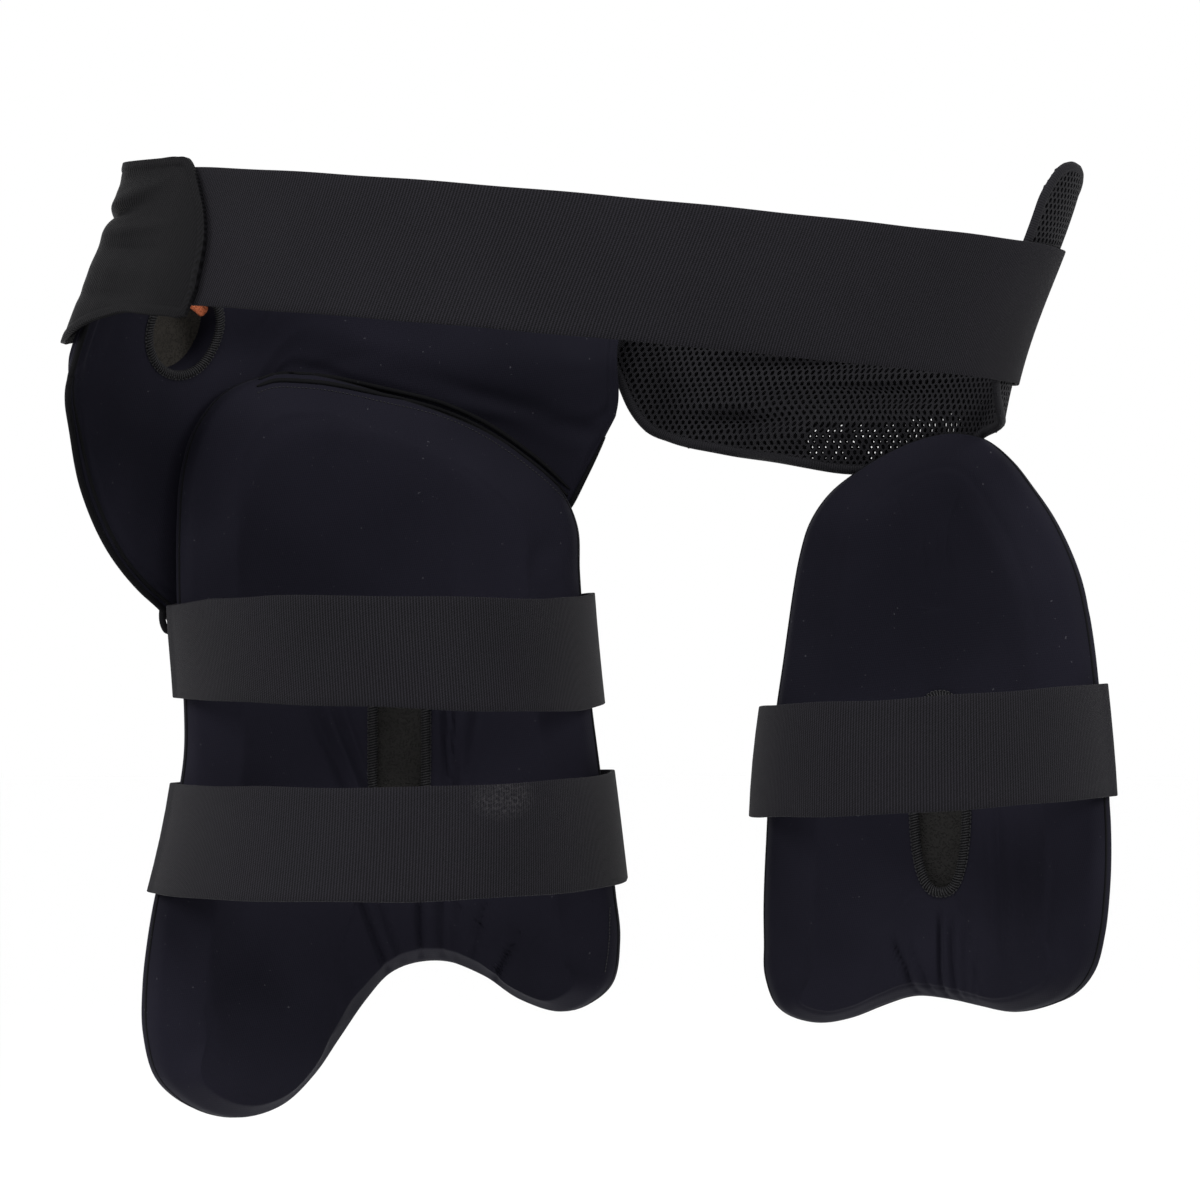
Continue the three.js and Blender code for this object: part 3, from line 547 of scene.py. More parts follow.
def thread_finish(name, colour):
    finish = Finish(name, 0.6, 0.18, 0.03)
    u, v, _ = finish.places("UV")
    twist = (u + v).wave(0.0006)
    finish.relief(twist, 0.0001, 0.6)
    finish.colour(twist, tuple(0.6 * c for c in colour), colour)
    return finish.material


tab = grid_sheet("hip_tab_cloth", 190, 110, tab_place, (tab_at[-1], TAB_HEIGHT))
cloth_edges(tab, TAB_THICKNESS, TAB_EDGE_ROUND)
tab_finish = Finish("ribbed_tab_webbing", 0.55, 0.05, 0.004, (0.9, 0.9, 1.0))
u, v, _ = tab_finish.places("UV")
tab_ribs = (u + v * 0.12).wave(TAB_RIB)
tab_weave = tab_ribs * 0.7 + v.wave(0.0009) * 0.12 + tab_finish.noise(900, 2, "UV") * 0.2
tab_finish.relief(tab_weave, 0.0003, 1.0)
tab_tone = tab_weave.within(0.2, 1.0) * 0.75 + tab_finish.noise(22, 3) * 0.25
tab_finish.colour(tab_tone, (0.0002, 0.0002, 0.0003), (0.0032, 0.003, 0.0038))
tab_finish.feed("Roughness", tab_tone * 0.12 + 0.5)
dress(tab, tab_finish.material)
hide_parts("hip_tab")

black_thread = thread_finish("black_thread", (0.014, 0.014, 0.016))
edge_ahead = unit(np.gradient(tab_edge, axis=0))
sewn = tab_edge + np.stack([edge_ahead[:, 1], -edge_ahead[:, 0]], 1) * TAB_BORDER
sewn_at, sewn_height = sewn.T
kept = (from_tab_edge(sewn_at, sewn_height) > 0.96 * TAB_BORDER) & (sewn_at > TAB_SEWN_FROM)
sewn_at, sewn_height = sewn_at[kept], sewn_height[kept]
stitch_path = tab_surface(sewn_at, sewn_height, TAB_THICKNESS / 2 - 0.35)
stitch_up = unit(tab_surface(sewn_at, sewn_height, 3.0) - tab_surface(sewn_at, sewn_height, 0.0))
tab_stitches = stitch_row("hip_tab_stitches", stitch_path, stitch_up, TAB_STITCH, TAB_THREAD)
dress(tab_stitches, black_thread)

# Thigh pad: a block of moulded foam in a stretch cloth cover, bent round the front of the left
# thigh. The cover is pulled tight over the foam, which shows through a slot in its inner face.
PAD_RIM = 10
PAD_EDGE_ROUND = 3
COVER_WALL = 1.9
COVER_PRESSURE = 2.0
COVER_SWELL = 0.0009
FOAM_SHRINK = 1.6
SEAM_OFF = -3.4
THIGH_PAD_THICKNESS = 23
SLOT_WIDTH = 29
SLOT_LENGTH = 84
RIM_BAND = 4
# Folds of the cover on its inner face: both ends across and up, the fold's width, and its depth
# in mm (less than 0: a ridge). They fan out from the notch and run past the slot.
THIGH_FOLDS = [
    (-18, -270, 6, -318, 1.7, 2.6), (-13, -274, 11, -318, 3.4, -1.1),
    (-4, -272, 14, -317, 1.6, 1.2), (19, -266, 22.5, -315, 1.5, 2.4),
    (15, -268, 18, -314, 3, -0.9), (32, -266, 33.5, -315, 1.5, 1.9),
    (27, -270, 28, -313, 2.6, -0.9), (58, -278, 49, -309, 1.8, 1.5),
    (76, -292, 58, -323, 1.6, 2.2), (70, -288, 54, -318, 3.2, -1.0),
    (43, -272, 40, -312, 2.2, 1.0), (-40, -186, -14, -240, 3.2, 2.6),
    (-28, -186, -5, -238, 2.4, 2.0), (-33, -182, -9, -242, 2.4, -1.0),
    (-20, -184, -2, -238, 1.6, 1.0), (35.5, -186, 34, -244, 1.8, 2.4),
    (41, -184, 37.5, -244, 2.2, 1.8), (38, -184, 36, -244, 1.4, -0.7),
    (46, -184, 41.5, -244, 3, -0.8), (52, -186, 46, -240, 1.8, 0.9),
    (38, -54, 43, -168, 7, 1.2), (54, -58, 57, -168, 9, -0.5),
    (-34, -262, -16, -322, 5, 0.8), (70, -60, 84, -120, 8, 0.5), (90, -200, 92, -290, 8, 0.6),
]
# The pad's section from its outer face round the rim and up the slope to its inner face: how far
# in from the outline, and off the outer face; the last four are off the inner face.
PAD_RIM_SECTION = [
    (44, 0), (30, 0), (18, 0), (9, 0), (5, 0), (3.2, 0), (1.5, -0.7), (0.3, -2.4), (0, -5),
    (0.5, -8.2), (1.7, -10.2), (4, -12), (8, -15.1), (12.5, -18.6),
]
PAD_INNER_SECTION = [(15.6, 1.9), (17.2, 0.8), (18.4, 0.2), (20, 0)]
PAD_MIDDLE = 44
SLOPE_END = 20
DEGREE = math.pi / 180


class Pad:
    """A pad's place at the belt: its own places across, up and off its outer face, in mm."""

    def __init__(self, place, turn, bend, thickness, foam):
        self.thickness = thickness
        self.place = np.array(place)
        self.turn = turn * DEGREE
        self.bend = bend
        across, up, off = self.flat(points_of(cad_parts[foam]) * 1000)
        rim = np.abs(off + PAD_RIM / 2) < 0.5
        left = np.unique(np.round(np.stack([across[rim], up[rim]], 1), 1), axis=0)
        order = [0]
        while len(order) < len(left):
            far = np.linalg.norm(left - left[order[-1]], axis=1)
            far[order] = np.inf
            order.append(int(far.argmin()))
        self.line = left[order]

    def to_part(self, points):
        c, s = math.cos(self.turn), math.sin(self.turn)
        x, y, z = np.moveaxis(np.asarray(points, float), -1, 0)
        return np.stack([x * c - y * s, x * s + y * c, z], -1) + self.place

    def from_part(self, points):
        c, s = math.cos(self.turn), math.sin(self.turn)
        x, y, z = np.moveaxis(np.asarray(points, float) - self.place, -1, 0)
        return np.stack([x * c + y * s, y * c - x * s, z], -1)

    def flat(self, points):
        """Places across the pad laid flat, up, and off its outer face."""
        x, y, z = np.moveaxis(self.from_part(points), -1, 0)
        radius = np.hypot(x, y + self.bend)
        return x * self.bend / radius, z, radius - self.bend

    def on(self, x, z, off):
        x, z, off = np.broadcast_arrays(x, z, off)
        forward = np.sqrt(self.bend**2 - x * x)
        y = forward - self.bend + off * forward / self.bend
        return self.to_part(np.stack([x + off * x / self.bend, y, z], -1))

    def outward(self, x):
        """The way from the leg to the pad's outer face, at a place across."""
        x = np.asarray(x, float)
        return self.on(x, 0 * x, 1) - self.on(x, 0 * x, 0)

    def outline(self, grow, count):
        """The pad's outline laid flat, grown by a distance, with its inward directions."""
        loop = np.concatenate([self.line[-2:], self.line, self.line[:3]])
        at = length_along(loop)
        slopes = np.gradient(loop, at, axis=0)
        places = np.linspace(at[2], at[-3], 1200, endpoint=False)
        k = np.clip(np.searchsorted(at, places, side="right") - 1, 0, len(at) - 2)
        step = (at[k + 1] - at[k])[:, None]
        t = (places - at[k])[:, None] / step
        fine = soft_step(t, step, loop[k], slopes[k], loop[k + 1], slopes[k + 1])
        closed = np.concatenate([fine, fine[:1]])
        at = length_along(closed)
        places = np.linspace(0, at[-1], count, endpoint=False)
        even = np.stack([np.interp(places, at, closed[:, axis]) for axis in (0, 1)], 1)
        ahead = np.roll(even, -2, 0) - np.roll(even, 2, 0)
        inward = unit(np.stack([ahead[:, 1], -ahead[:, 0]], 1))
        if (inward * (even.mean(0) - even)).sum() < 0:
            inward = -inward
        return even - inward * grow, inward

    def edge(self, z, side):
        """How far the cover reaches across at a height, on one side."""
        line, _ = self.outline(COVER_WALL, 400)
        after = np.roll(line, -1, 0)
        crossing = (line[:, 1] - z) * (after[:, 1] - z) < 0
        low, high = line[crossing], after[crossing]
        x = low[:, 0] + (high[:, 0] - low[:, 0]) * (z - low[:, 1]) / (high[:, 1] - low[:, 1])
        return x.max() if side > 0 else x.min()


thigh = Pad(
    (-0.461 * LOOP_HALF_WIDTH, LOOP_HALF_DEPTH - 6, 0), 8, 190, THIGH_PAD_THICKNESS, "thigh_foam")


def pad_block(name, pad, grow, spine, count, rings):
    """The pad's form, ring by ring from the middle of its outer face over the rounded rim and the
    slope to the middle of its inner face. The rings draw in to an upright spine line."""
    line, inward = pad.outline(grow, count)
    middle = np.stack([0 * line[:, 0], np.clip(line[:, 1], spine[0], spine[1])], 1)
    towards = unit(middle - line)
    deep = pad.thickness
    profile = [(PAD_MIDDLE, share, 0) for share in (0.96, 0.75, 0.5, 0.25)]
    profile += [(inset, 0, off) for inset, off in PAD_RIM_SECTION]
    profile += [(inset, 0, off - deep) for inset, off in PAD_INNER_SECTION]
    profile += [(inset, 0, -deep) for inset in np.linspace(SLOPE_END + 2.5, PAD_MIDDLE, rings // 3)]
    profile += [(PAD_MIDDLE, share, -deep) for share in np.linspace(0, 0.97, rings)[1:]]
    points = []
    # Along the lower edge the slope is steep and narrow.
    steep = 1 - 0.62 * smooth((inward[:, 1:] - 0.15) / 0.6)
    for inset, share, off in profile:
        way = unit(lerp(inward, towards, min(0.03 * inset, 0.8)))
        past_slope = max(inset - SLOPE_END, 0) / (PAD_MIDDLE - SLOPE_END)
        reach = steep * min(inset, SLOPE_END) + (PAD_MIDDLE - steep * SLOPE_END) * past_slope
        ring = lerp(line + way * reach, middle, share)
        off = off + (grow if off > -5 else -grow if off < -5 else 0)
        points.append(pad.on(ring[:, 0], ring[:, 1], off))
    faces = ring_faces(len(points), count)
    top = int(line[:, 1].argmax())
    for first in (0, (len(points) - 1) * count):
        for k in range(count // 2):
            across = [(top + place) % count for place in (k, k + 1, -k - 1, -k)]
            faces.append([first + corner for corner in dict.fromkeys(across)])
    piece = new_piece(name, np.concatenate(points), faces)
    faces_outwards(piece)
    return piece


def stuffed(piece, pressure, cap):
    """The cover swells over its foam: cloth under pressure, with no point moving further
    than cap."""
    start = points_of(piece)
    cloth = piece.modifiers.new("cloth", "CLOTH")
    cloth.settings.use_pressure = True
    cloth.settings.uniform_pressure_force = pressure
    cloth.settings.effector_weights.gravity = 0
    for step in range(1, 21):
        bpy.context.scene.frame_set(step)
    finish_modifiers(piece)
    moved = points_of(piece) - start
    length = np.maximum(np.linalg.norm(moved, axis=1, keepdims=True), 1e-9)
    move_points(piece, start + moved * np.minimum(1, cap / length))
    bpy.context.scene.frame_set(1)


def rounded(piece):
    finer = piece.modifiers.new("finer", "SUBSURF")
    finer.levels = 1
    finer.render_levels = 1
    finish_modifiers(piece)
    bpy.ops.object.shade_smooth()


def fold_depth(across, up, folds):
    """How far the folds take the cloth in, at places on it laid flat."""
    depth = 0 * across
    for x0, z0, x1, z1, wide, deep in folds:
        way = np.array([x1 - x0, z1 - z0])
        length = np.hypot(*way)
        way = way / length
        share = ((across - x0) * way[0] + (up - z0) * way[1]) / length
        aside = (across - x0) * way[1] - (up - z0) * way[0]
        aside = aside + 0.6 * np.sin(share * 5 + x0)
        held = smooth(share * 3.2) * smooth((1.12 - share) * 6)
        depth = depth + deep * held * np.exp(-((aside / wide) ** 2))
    return depth


def fold_cover(cover, pad, folds, seed):
    """Presses the folds into the cover's inner face, and a slight unevenness all over."""
    points = points_of(cover) * 1000
    across, up, off = pad.flat(points)
    inner_side = smooth((-off - 0.55 * pad.thickness) / (0.3 * pad.thickness))
    drift = 0.35 * np.sin(across / 23 + up / 41 + seed) * np.sin(up / 27 - across / 60 + 2 * seed)
    drift = drift + 0.16 * np.sin(across / 9 - up / 15 + seed) * np.sin(up / 11 + across / 19)
    push = (fold_depth(across, up, folds) + drift) * inner_side
    move_points(cover, (points + pad.outward(across) * push[:, None]) / 1000)


def slot_line(pad, middle, length, squareness, shrink, count=160):
    """The slot's outline laid flat, in from the overlocked rim's outer edge by a distance."""
    angle = 2 * np.pi * np.arange(count) / count
    stretch = pad.bend / (pad.bend - pad.thickness)
    half_wide = (SLOT_WIDTH / 2 - shrink) * stretch
    half_long = length / 2 - shrink
    power = 2 / squareness
    x = half_wide * np.sign(np.cos(angle)) * np.abs(np.cos(angle)) ** power
    z = half_long * np.sign(np.sin(angle)) * np.abs(np.sin(angle)) ** power
    return x + middle[0], z + middle[1]


def cut_recess(cover, rings):
    """Cuts a recess into a cover: rings of points in mm from above the cloth down to its floor."""
    rings = np.asarray(rings)
    count = rings.shape[1]
    faces = [list(range(count)), list(range((len(rings) - 1) * count, len(rings) * count))]
    cutter = new_piece("recess", rings.reshape(-1, 3), faces + ring_faces(len(rings), count))
    faces_outwards(cutter)
    cut = cover.modifiers.new("recess", "BOOLEAN")
    cut.operation = "DIFFERENCE"
    cut.solver = "MANIFOLD"
    cut.object = cutter
    finish_modifiers(cover)
    bpy.data.objects.remove(cutter)
    cover.data.materials.clear()
    keep_only(cover)
    bpy.ops.object.shade_smooth_by_angle(angle=math.radians(45))


def cloth_hits(cover, starts, ways):
    """Where lines meet a cover, with the cloth's normals there."""
    bpy.context.view_layer.update()
    spots, normals = [], []
    for start, way in zip(starts / 1000, ways):
        found, spot, normal, _ = cover.ray_cast(Vector(start), Vector(way))
        spots.append(np.array(spot) * 1000 if found else start * 1000 + 60 * way)
        normals.append(np.array(normal) if found else -way)
    return np.array(spots), np.array(normals)


def settle(values, passes):
    """Evens out a closed line."""
    for _ in range(passes):
        values = (np.roll(values, 1, 0) + 2 * values + np.roll(values, -1, 0)) / 4
    return values


def closed_line(points):
    return np.concatenate([points, points[:1]])


def overlock(name, path, normals):
    """The rim of an opening: a folded band of cloth with overlock thread sewn over it."""
    path, normals = settle(path, 4), unit(settle(normals, 6))
    raised = path + normals * 0.35
    band = tubes(name + "_band", [raised], [normals], RIM_BAND / 2, 1.25, 10, closed=True)
    dress(band, overlock_cloth)
    spots, ups = (line[:-1] for line in evenly(closed_line(path), closed_line(normals), 1.2))
    ahead = unit(np.roll(spots, -1, 0) - np.roll(spots, 1, 0))
    aside = np.cross(ahead, ups)
    turn = np.linspace(-1.0, 1.0, 9)[:, None]
    arch = (np.cos(turn * np.pi / 2) ** 0.8) * 1.35
    runs = [spot + side * turn * RIM_BAND * 0.56 + up * (arch + 0.3) + way * turn * 0.55
            for spot, side, up, way in zip(spots, aside, ups, ahead)]
    upward = [np.tile(up, (9, 1)) for up in ups]
    over = tubes(name + "_threads", runs, upward, 0.29, 0.29, 5, tapered=True)
    outward = np.cross(unit(np.roll(path, -1, 0) - np.roll(path, 1, 0)), normals)
    edge = closed_line(raised + outward * RIM_BAND * 0.55)
    chain = stitch_row(name + "_chain", edge, closed_line(normals), 2.0, 0.34)
    for piece in (over, chain):
        dress(piece, overlock_thread)


def stretch_cloth(name, dark, light):
    """Smooth stretch cloth: a very fine knit with a soft sheen, near black with a navy tint, and
    a few specks of lint."""
    finish = Finish(name, 0.8, 0.045, 0.012, (0.8, 0.8, 1.0))
    x, y, z = finish.places()
    fuzz = finish.noise(900, 2)
    knit = (x + z * 0.3).wave(0.00095) * 0.5 + (z - x * 0.1).wave(0.0011) * 0.5
    relief = knit * 0.5 + fuzz * 0.5
    finish.relief(relief, 0.00014, 0.6)
    tone = finish.noise(8, 3).within(0.3, 0.7) * 0.65 + relief * 0.35
    lint = finish.noise(760, 0).within(0.85, 0.88)
    finish.colour(lint * 0.2, finish.blend(tone, dark, light), (0.1, 0.1, 0.11))
    finish.feed("Roughness", fuzz * 0.1 + 0.74)
    return finish.material


def foam_finish(name, dark, light):
    """Open-cell foam: fine pores and a slightly mottled colour."""
    finish = Finish(name, 0.9, 0.1)
    where = finish.node("ShaderNodeTexCoord", {}, {}, "Object")
    pores = finish.node("ShaderNodeTexVoronoi", {}, {"Vector": where, "Scale": 950.0})
    finish.relief(pores.within(0.1, 0.6), 0.0004, 0.8)
    tone = pores.within(0.1, 0.7) * 0.5 + finish.noise(60, 3) * 0.5
    finish.colour(tone, dark, light)
    finish.feed("Roughness", pores * 0.1 + 0.85)
    return finish.material


lycra = stretch_cloth(
    "navy_black_stretch_cloth", (0.0021, 0.002, 0.004), (0.0062, 0.0058, 0.0098))
overlock_cloth = stretch_cloth(
    "overlocked_cloth", (0.0012, 0.0012, 0.0015), (0.003, 0.003, 0.0035))
overlock_thread = thread_finish("overlock_thread", (0.011, 0.0108, 0.012))
grey_foam = foam_finish("grey_brown_foam", (0.004, 0.0038, 0.0036), (0.0115, 0.011, 0.0105))


def padded_cover(name, pad, spine, folds, seed, slot):
    """A pad's cover with its slot, the seam round its rim and the foam inside."""
    cover = pad_block(name, pad, COVER_WALL, spine, 400, 20)
    stuffed(cover, COVER_PRESSURE, COVER_SWELL)
    rounded(cover)
    fold_cover(cover, pad, folds, seed)
    x, z = slot_line(pad, *slot, RIM_BAND / 2)
    spots, normals = cloth_hits(cover, pad.on(x, z, -60 - pad.thickness), pad.outward(x))
    x, z = slot_line(pad, *slot, RIM_BAND * 0.75)
    cut_recess(cover, [pad.on(x, z, off - pad.thickness) for off in (-20, 4)])
    dress(cover, lycra)
    overlock(name + "_slot", spots, normals)
    line, inward = pad.outline(0, 360)
    rim = pad.on(line[:, 0], line[:, 1], SEAM_OFF)
    outside = line - inward * 25
    outside = pad.on(outside[:, 0], outside[:, 1], SEAM_OFF)
    spots, normals = cloth_hits(cover, outside, unit(rim - outside))
    spots, normals = settle(spots, 2), unit(settle(normals, 2))
    seam = tubes(name + "_seam", [spots], [normals], 0.75, 0.45, 6, closed=True)
    dress(seam, overlock_cloth)
    foam = pad_block(name.replace("cover", "foam"), pad, -FOAM_SHRINK, spine, 200, 6)
    keep_only(foam)
    bpy.ops.object.shade_smooth_by_angle(angle=math.radians(50))
    dress(foam, grey_foam)
    return cover, foam


thigh_cover, thigh_foam = padded_cover(
    "thigh_pad_cover", thigh, (-252, -150), THIGH_FOLDS, 1.3, ((10, -208), SLOT_LENGTH, 4.0))
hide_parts("thigh_cover")
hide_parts("thigh_foam")

# Thigh straps: two bands of ribbed elastic behind the left leg, sewn to the pad's outer face
# with a box of stitches at each end.
THIGH_STRAP_WIDTH = 50
THIGH_RIB = 0.0013
STRAP_RUN = 34
THIGH_BULGE = 127


class Route:
    """A smooth line through a few points in mm, read at shares of its length."""

    def __init__(self, points):
        self.points = np.asarray(points, float)
        self.at = length_along(self.points)
        self.length = self.at[-1]
        self.slopes = np.gradient(self.points, self.at, axis=0)

    def __call__(self, share):
        place = np.clip(share, 0, 1) * self.length
        k = np.clip(np.searchsorted(self.at, place) - 1, 0, len(self.at) - 2)
        step = (self.at[k + 1] - self.at[k])[..., None]
        t = (place - self.at[k])[..., None] / step
        start, end = ((self.points[row], self.slopes[row]) for row in (k, k + 1))
        return soft_step(t, step, *start, *end)


def strap_line(pad, z, bulge):
    """The strap's plan at one height, from one sewn end behind the leg to the other."""
    off = SEAT + ELASTIC / 2

    def side(sign):
        x = pad.edge(z, sign)
        places = [(x - sign * back, off) for back in (STRAP_RUN, STRAP_RUN / 2, PAD_EDGE_ROUND)]
        places.append((x + sign * off * 0.75, off * 0.2))
        return pad.from_part([pad.on(across, z, away) for across, away in places])

    start, end = side(-1), side(1)[::-1]
    angle = np.pi * np.arange(1, 24)[:, None] / 24
    span = start[-1] + (end[0] - start[-1]) * (1 - np.cos(angle)) / 2
    span[:, 1] -= bulge * np.sin(angle[:, 0])
    return np.concatenate([start, span, end])


def leg_strap(name, node, pad, height, tilt, bulge, seed, material, edges):
    """A strap at a height, drawn up towards the right by its tilt, that bulges behind the leg."""
    middle = strap_line(pad, height, bulge)
    lines = []
    for level in (0.5, 0.25, 0, -0.25, -0.5):
        z = height + level * THIGH_STRAP_WIDTH
        line = strap_line(pad, z, bulge)
        line[:, 2] = z + tilt * middle[:, 0]
        lines.append(Route(pad.to_part(line)))

    def place(along, across):
        spans = np.stack([line(along) for line in lines])
        k = np.clip((across * 4).astype(int), 0, 3)
        share = (across * 4 - k)[:, None]
        index = np.arange(len(along))
        point = spans[k, index] * (1 - share) + spans[k + 1, index] * share
        free = smooth(5 * (along - 0.14)) * smooth(5 * (0.86 - along))
        edge = np.abs(across - 0.5) * 2
        point[:, 2] += free * edge**3 * 0.25 * np.sin(along * 37 + seed + across * 3)
        reach = pad.from_part(point)[:, 0] / pad.edge(height, 1)
        upper, lower = (np.interp(reach, edges[:, 0], edges[:, column]) for column in (1, 2))
        point[:, 2] += lerp(upper, lower, across)
        return point

    length = lines[2].length
    strap = grid_sheet(name, 260, 12, place, (length, THIGH_STRAP_WIDTH))
    cloth_edges(strap, ELASTIC, STRAP_EDGE_ROUND)
    dress(strap, material)
    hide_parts(node)
    sewn_run = STRAP_RUN - 6
    for end, (near, far) in enumerate([(4, sewn_run), (length - sewn_run, length - 4)]):
        corners = [(near, 0.08), (far, 0.08), (far, 0.92), (near, 0.92), (near, 0.08), (far, 0.92)]
        box_along, box_across = np.concatenate([
            np.linspace(start, stop, 20) for start, stop in zip(corners, corners[1:])]).T
        path = place(box_along / length, box_across)
        up = pad.outward(pad.flat(path)[0])
        row = stitch_row(f"{name}_stitches_{end + 1}", path + up * ELASTIC / 2, up, 2.4, 0.32)
        dress(row, black_thread)


plain_elastic = elastic_finish("ribbed_thigh_elastic", THIGH_RIB, [])
# The lower strap carries a painted highlight: a pale patch near its upper edge.
highlighted_elastic = elastic_finish(
    "ribbed_thigh_elastic_painted_highlight", THIGH_RIB, [(0.262, 0.006, 0.02, 0.012)])
# How far the straps' edges are drawn up, in mm: across the leg as a share of the pad, then the
# upper edge and the lower edge.
UPPER_STRAP_EDGES = np.array([
    [-1, -4.4, 3.2], [-0.85, -1.4, 2.9], [-0.6, 0, 2.2], [-0.2, 0, 1.2],
    [0.2, -0.7, -0.4], [0.65, -1.4, -1.7], [0.85, -0.6, -1.6], [1, 1.4, 0],
])
EVEN_EDGES = np.array([
    [-1, -0.6, 0], [-0.6, 0.2, 0.2], [0, -0.5, -0.4], [0.6, 0, 0], [1, 0.8, 0.6]])
leg_strap("thigh_elastic_upper", "thigh_strap_upper", thigh, -168, 0, THIGH_BULGE, 0,
          plain_elastic, UPPER_STRAP_EDGES)
leg_strap("thigh_elastic_lower", "thigh_strap_lower", thigh, -251.5, 0.02, THIGH_BULGE, 2,
          highlighted_elastic, EVEN_EDGES)

# Inner thigh pad: a smaller pad of the same make for the right leg, with one elastic strap.
INNER_FOLDS = [
    (-26, -294, -9, -328, 1.5, 2.2), (-20, -292, -5, -327, 2.2, -0.9),
    (-15, -296, -2, -327, 1.4, 1.3), (1, -280, 4, -328, 1.4, 2.1), (8.5, -282, 11, -328, 1.7, 1.6),
    (4.5, -284, 7.5, -327, 1.8, -0.7), (17, -288, 16, -328, 2.2, 1.0),
    (24, -290, 21, -326, 1.5, 0.8), (34.5, -226, 38.5, -304, 2.4, 1.2),
    (29, -230, 32, -296, 2.6, -0.6), (47, -222, 49.5, -296, 2.4, 1.0), (58, -230, 60, -300, 3, 0.7),
    (41, -226, 43.5, -300, 2.4, -0.5), (-38, -240, -30, -304, 7, 0.5), (16, -276, 19, -310, 3, 0.8),
]
INNER_PAD_THICKNESS = 21
INNER_SLOT_LENGTH = 93
INNER_BULGE = 97
inner = Pad(
    (0.813 * LOOP_HALF_WIDTH, LOOP_HALF_DEPTH - 63, 0), -18, 150, INNER_PAD_THICKNESS,
    "inner_thigh_foam")
inner_cover, inner_foam = padded_cover(
    "inner_thigh_pad_cover", inner, (-258, -150), INNER_FOLDS, 4.1,
    ((3, -232.5), INNER_SLOT_LENGTH, 2.6))
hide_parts("inner_thigh_cover")
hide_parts("inner_thigh_foam")
leg_strap("inner_thigh_elastic", "inner_thigh_strap", inner, -213, 0.06, INNER_BULGE, 5,
          plain_elastic, EVEN_EDGES)

# Hip pad: soft foam in the same stretch cloth round the left hip, with a round pocket opening.
# Its cloth runs on below the foam as a flat hem, down to the binding.
HIP_PAD_EDGE = 6
HIP_PAD_HEIGHT = 160
THIGH_PAD_TOP = -40
THIGH_PAD_HEIGHT = 344
CLOTH = 1.3
HIP_PRESSURE = 1.5
HIP_SWELL = 0.0012
# The hem reaches a share further than the foam.
HEM_SHARE = 0.3
# Degrees, and the lower ends of the foam and of its cloth: the wing's as shares of the hip pad's
# height, the front's as shares of the thigh pad's.
HIP_WING_LINES = np.array([
    [184, 0.225, 0.275], [181.5, 0.24, 0.3], [176, 0.288, 0.35], [169.6, 0.363, 0.425],
    [161.6, 0.531, 0.594], [153, 0.7, 0.763], [145.8, 0.813, 0.875], [141, 0.865, 0.941],
    [138, 0.87, 1.0], [134, 0.75, 0.875], [130, 0.42, 0.6],
])
HIP_FRONT_LINES = np.array([
    [126, -0.009, 0.056], [122, -0.014, 0.044], [115, 0.007, 0.051], [108, 0.023, 0.067],
    [102, 0.044, 0.084], [95, 0.058, 0.116], [89, 0.067, 0.16], [85, 0.063, 0.181],
    [83.2, 0.058, 0.14], [81.8, 0.047, 0.102], [80.4, 0.037, 0.056],
])
hip_lines = np.concatenate([
    HIP_WING_LINES * [1, -HIP_PAD_HEIGHT, -HIP_PAD_HEIGHT],
    HIP_FRONT_LINES * [1, -THIGH_PAD_HEIGHT, -THIGH_PAD_HEIGHT] + [0, THIGH_PAD_TOP, THIGH_PAD_TOP],
])
# Creases of the hip pad's inner face: both ends in degrees and height, width in mm, depth in mm.
HIP_CREASES = [
    (150, -34, 160, -66, 4, 1.0), (146, -40, 151, -74, 5, -0.5), (153, -30, 166, -52, 4, 0.6),
    (104, -44, 83, -66, 3, 1.2), (108, -40, 90, -54, 2.5, 0.7), (100, -52, 84, -74, 3, -0.8),
    (112, -30, 122, -38, 3, 0.6), (96, -22, 86, -40, 8, 0.5), (165, -70, 152, -118, 6, -0.5),
]


def in_front_of_pad(pad, x, away):
    """How far forward a pad's outer face lies at a place across the belt, moved out."""
    radius = pad.bend + away
    centre = pad.place[:2] + pad.bend * np.array([math.sin(pad.turn), -math.cos(pad.turn)])
    across = np.clip(x - centre[0], -0.9 * radius, 0.9 * radius)
    return centre[1] + np.sqrt(radius**2 - across**2)


def hip_surface(degrees, height):
    point = loop_point(degrees, height, HIP_PAD_THICKNESS / 2)
    front = smooth((132 - degrees) / 10)
    away = lerp(HIP_PAD_THICKNESS / 2 + ELASTIC + 2 * SEAT, CLOTH + SEAT, front)
    on_pad = in_front_of_pad(thigh, point[..., 0], away)
    seated = lerp(np.maximum(point[..., 1], on_pad), on_pad, front)
    low = smooth((0.1 * THIGH_PAD_TOP - height) / (-0.8 * THIGH_PAD_TOP))
    point[..., 1] = lerp(point[..., 1], seated, low * smooth((152 - degrees) / 7))
    return point


def hip_ends(degrees):
    """Heights of the pad's upper edge, its foam's lower end and its cloth's lower end."""
    foam_foot, cloth_foot = (soft_table(hip_lines, column, degrees) for column in (1, 2))
    return BELT_HALF_HEIGHT + belt_slope(degrees), foam_foot, cloth_foot


def hip_degrees(along):
    lines = len(hip_lines) - 1
    return np.interp(along * lines, np.arange(lines + 1), hip_lines[:, 0])


def hip_end_slant(degrees, height):
    """How far the pad's right end is drawn back at its upper part, in degrees."""
    return 2.0 * smooth((height + 56) / 34) * smooth((94 - degrees) / 12)


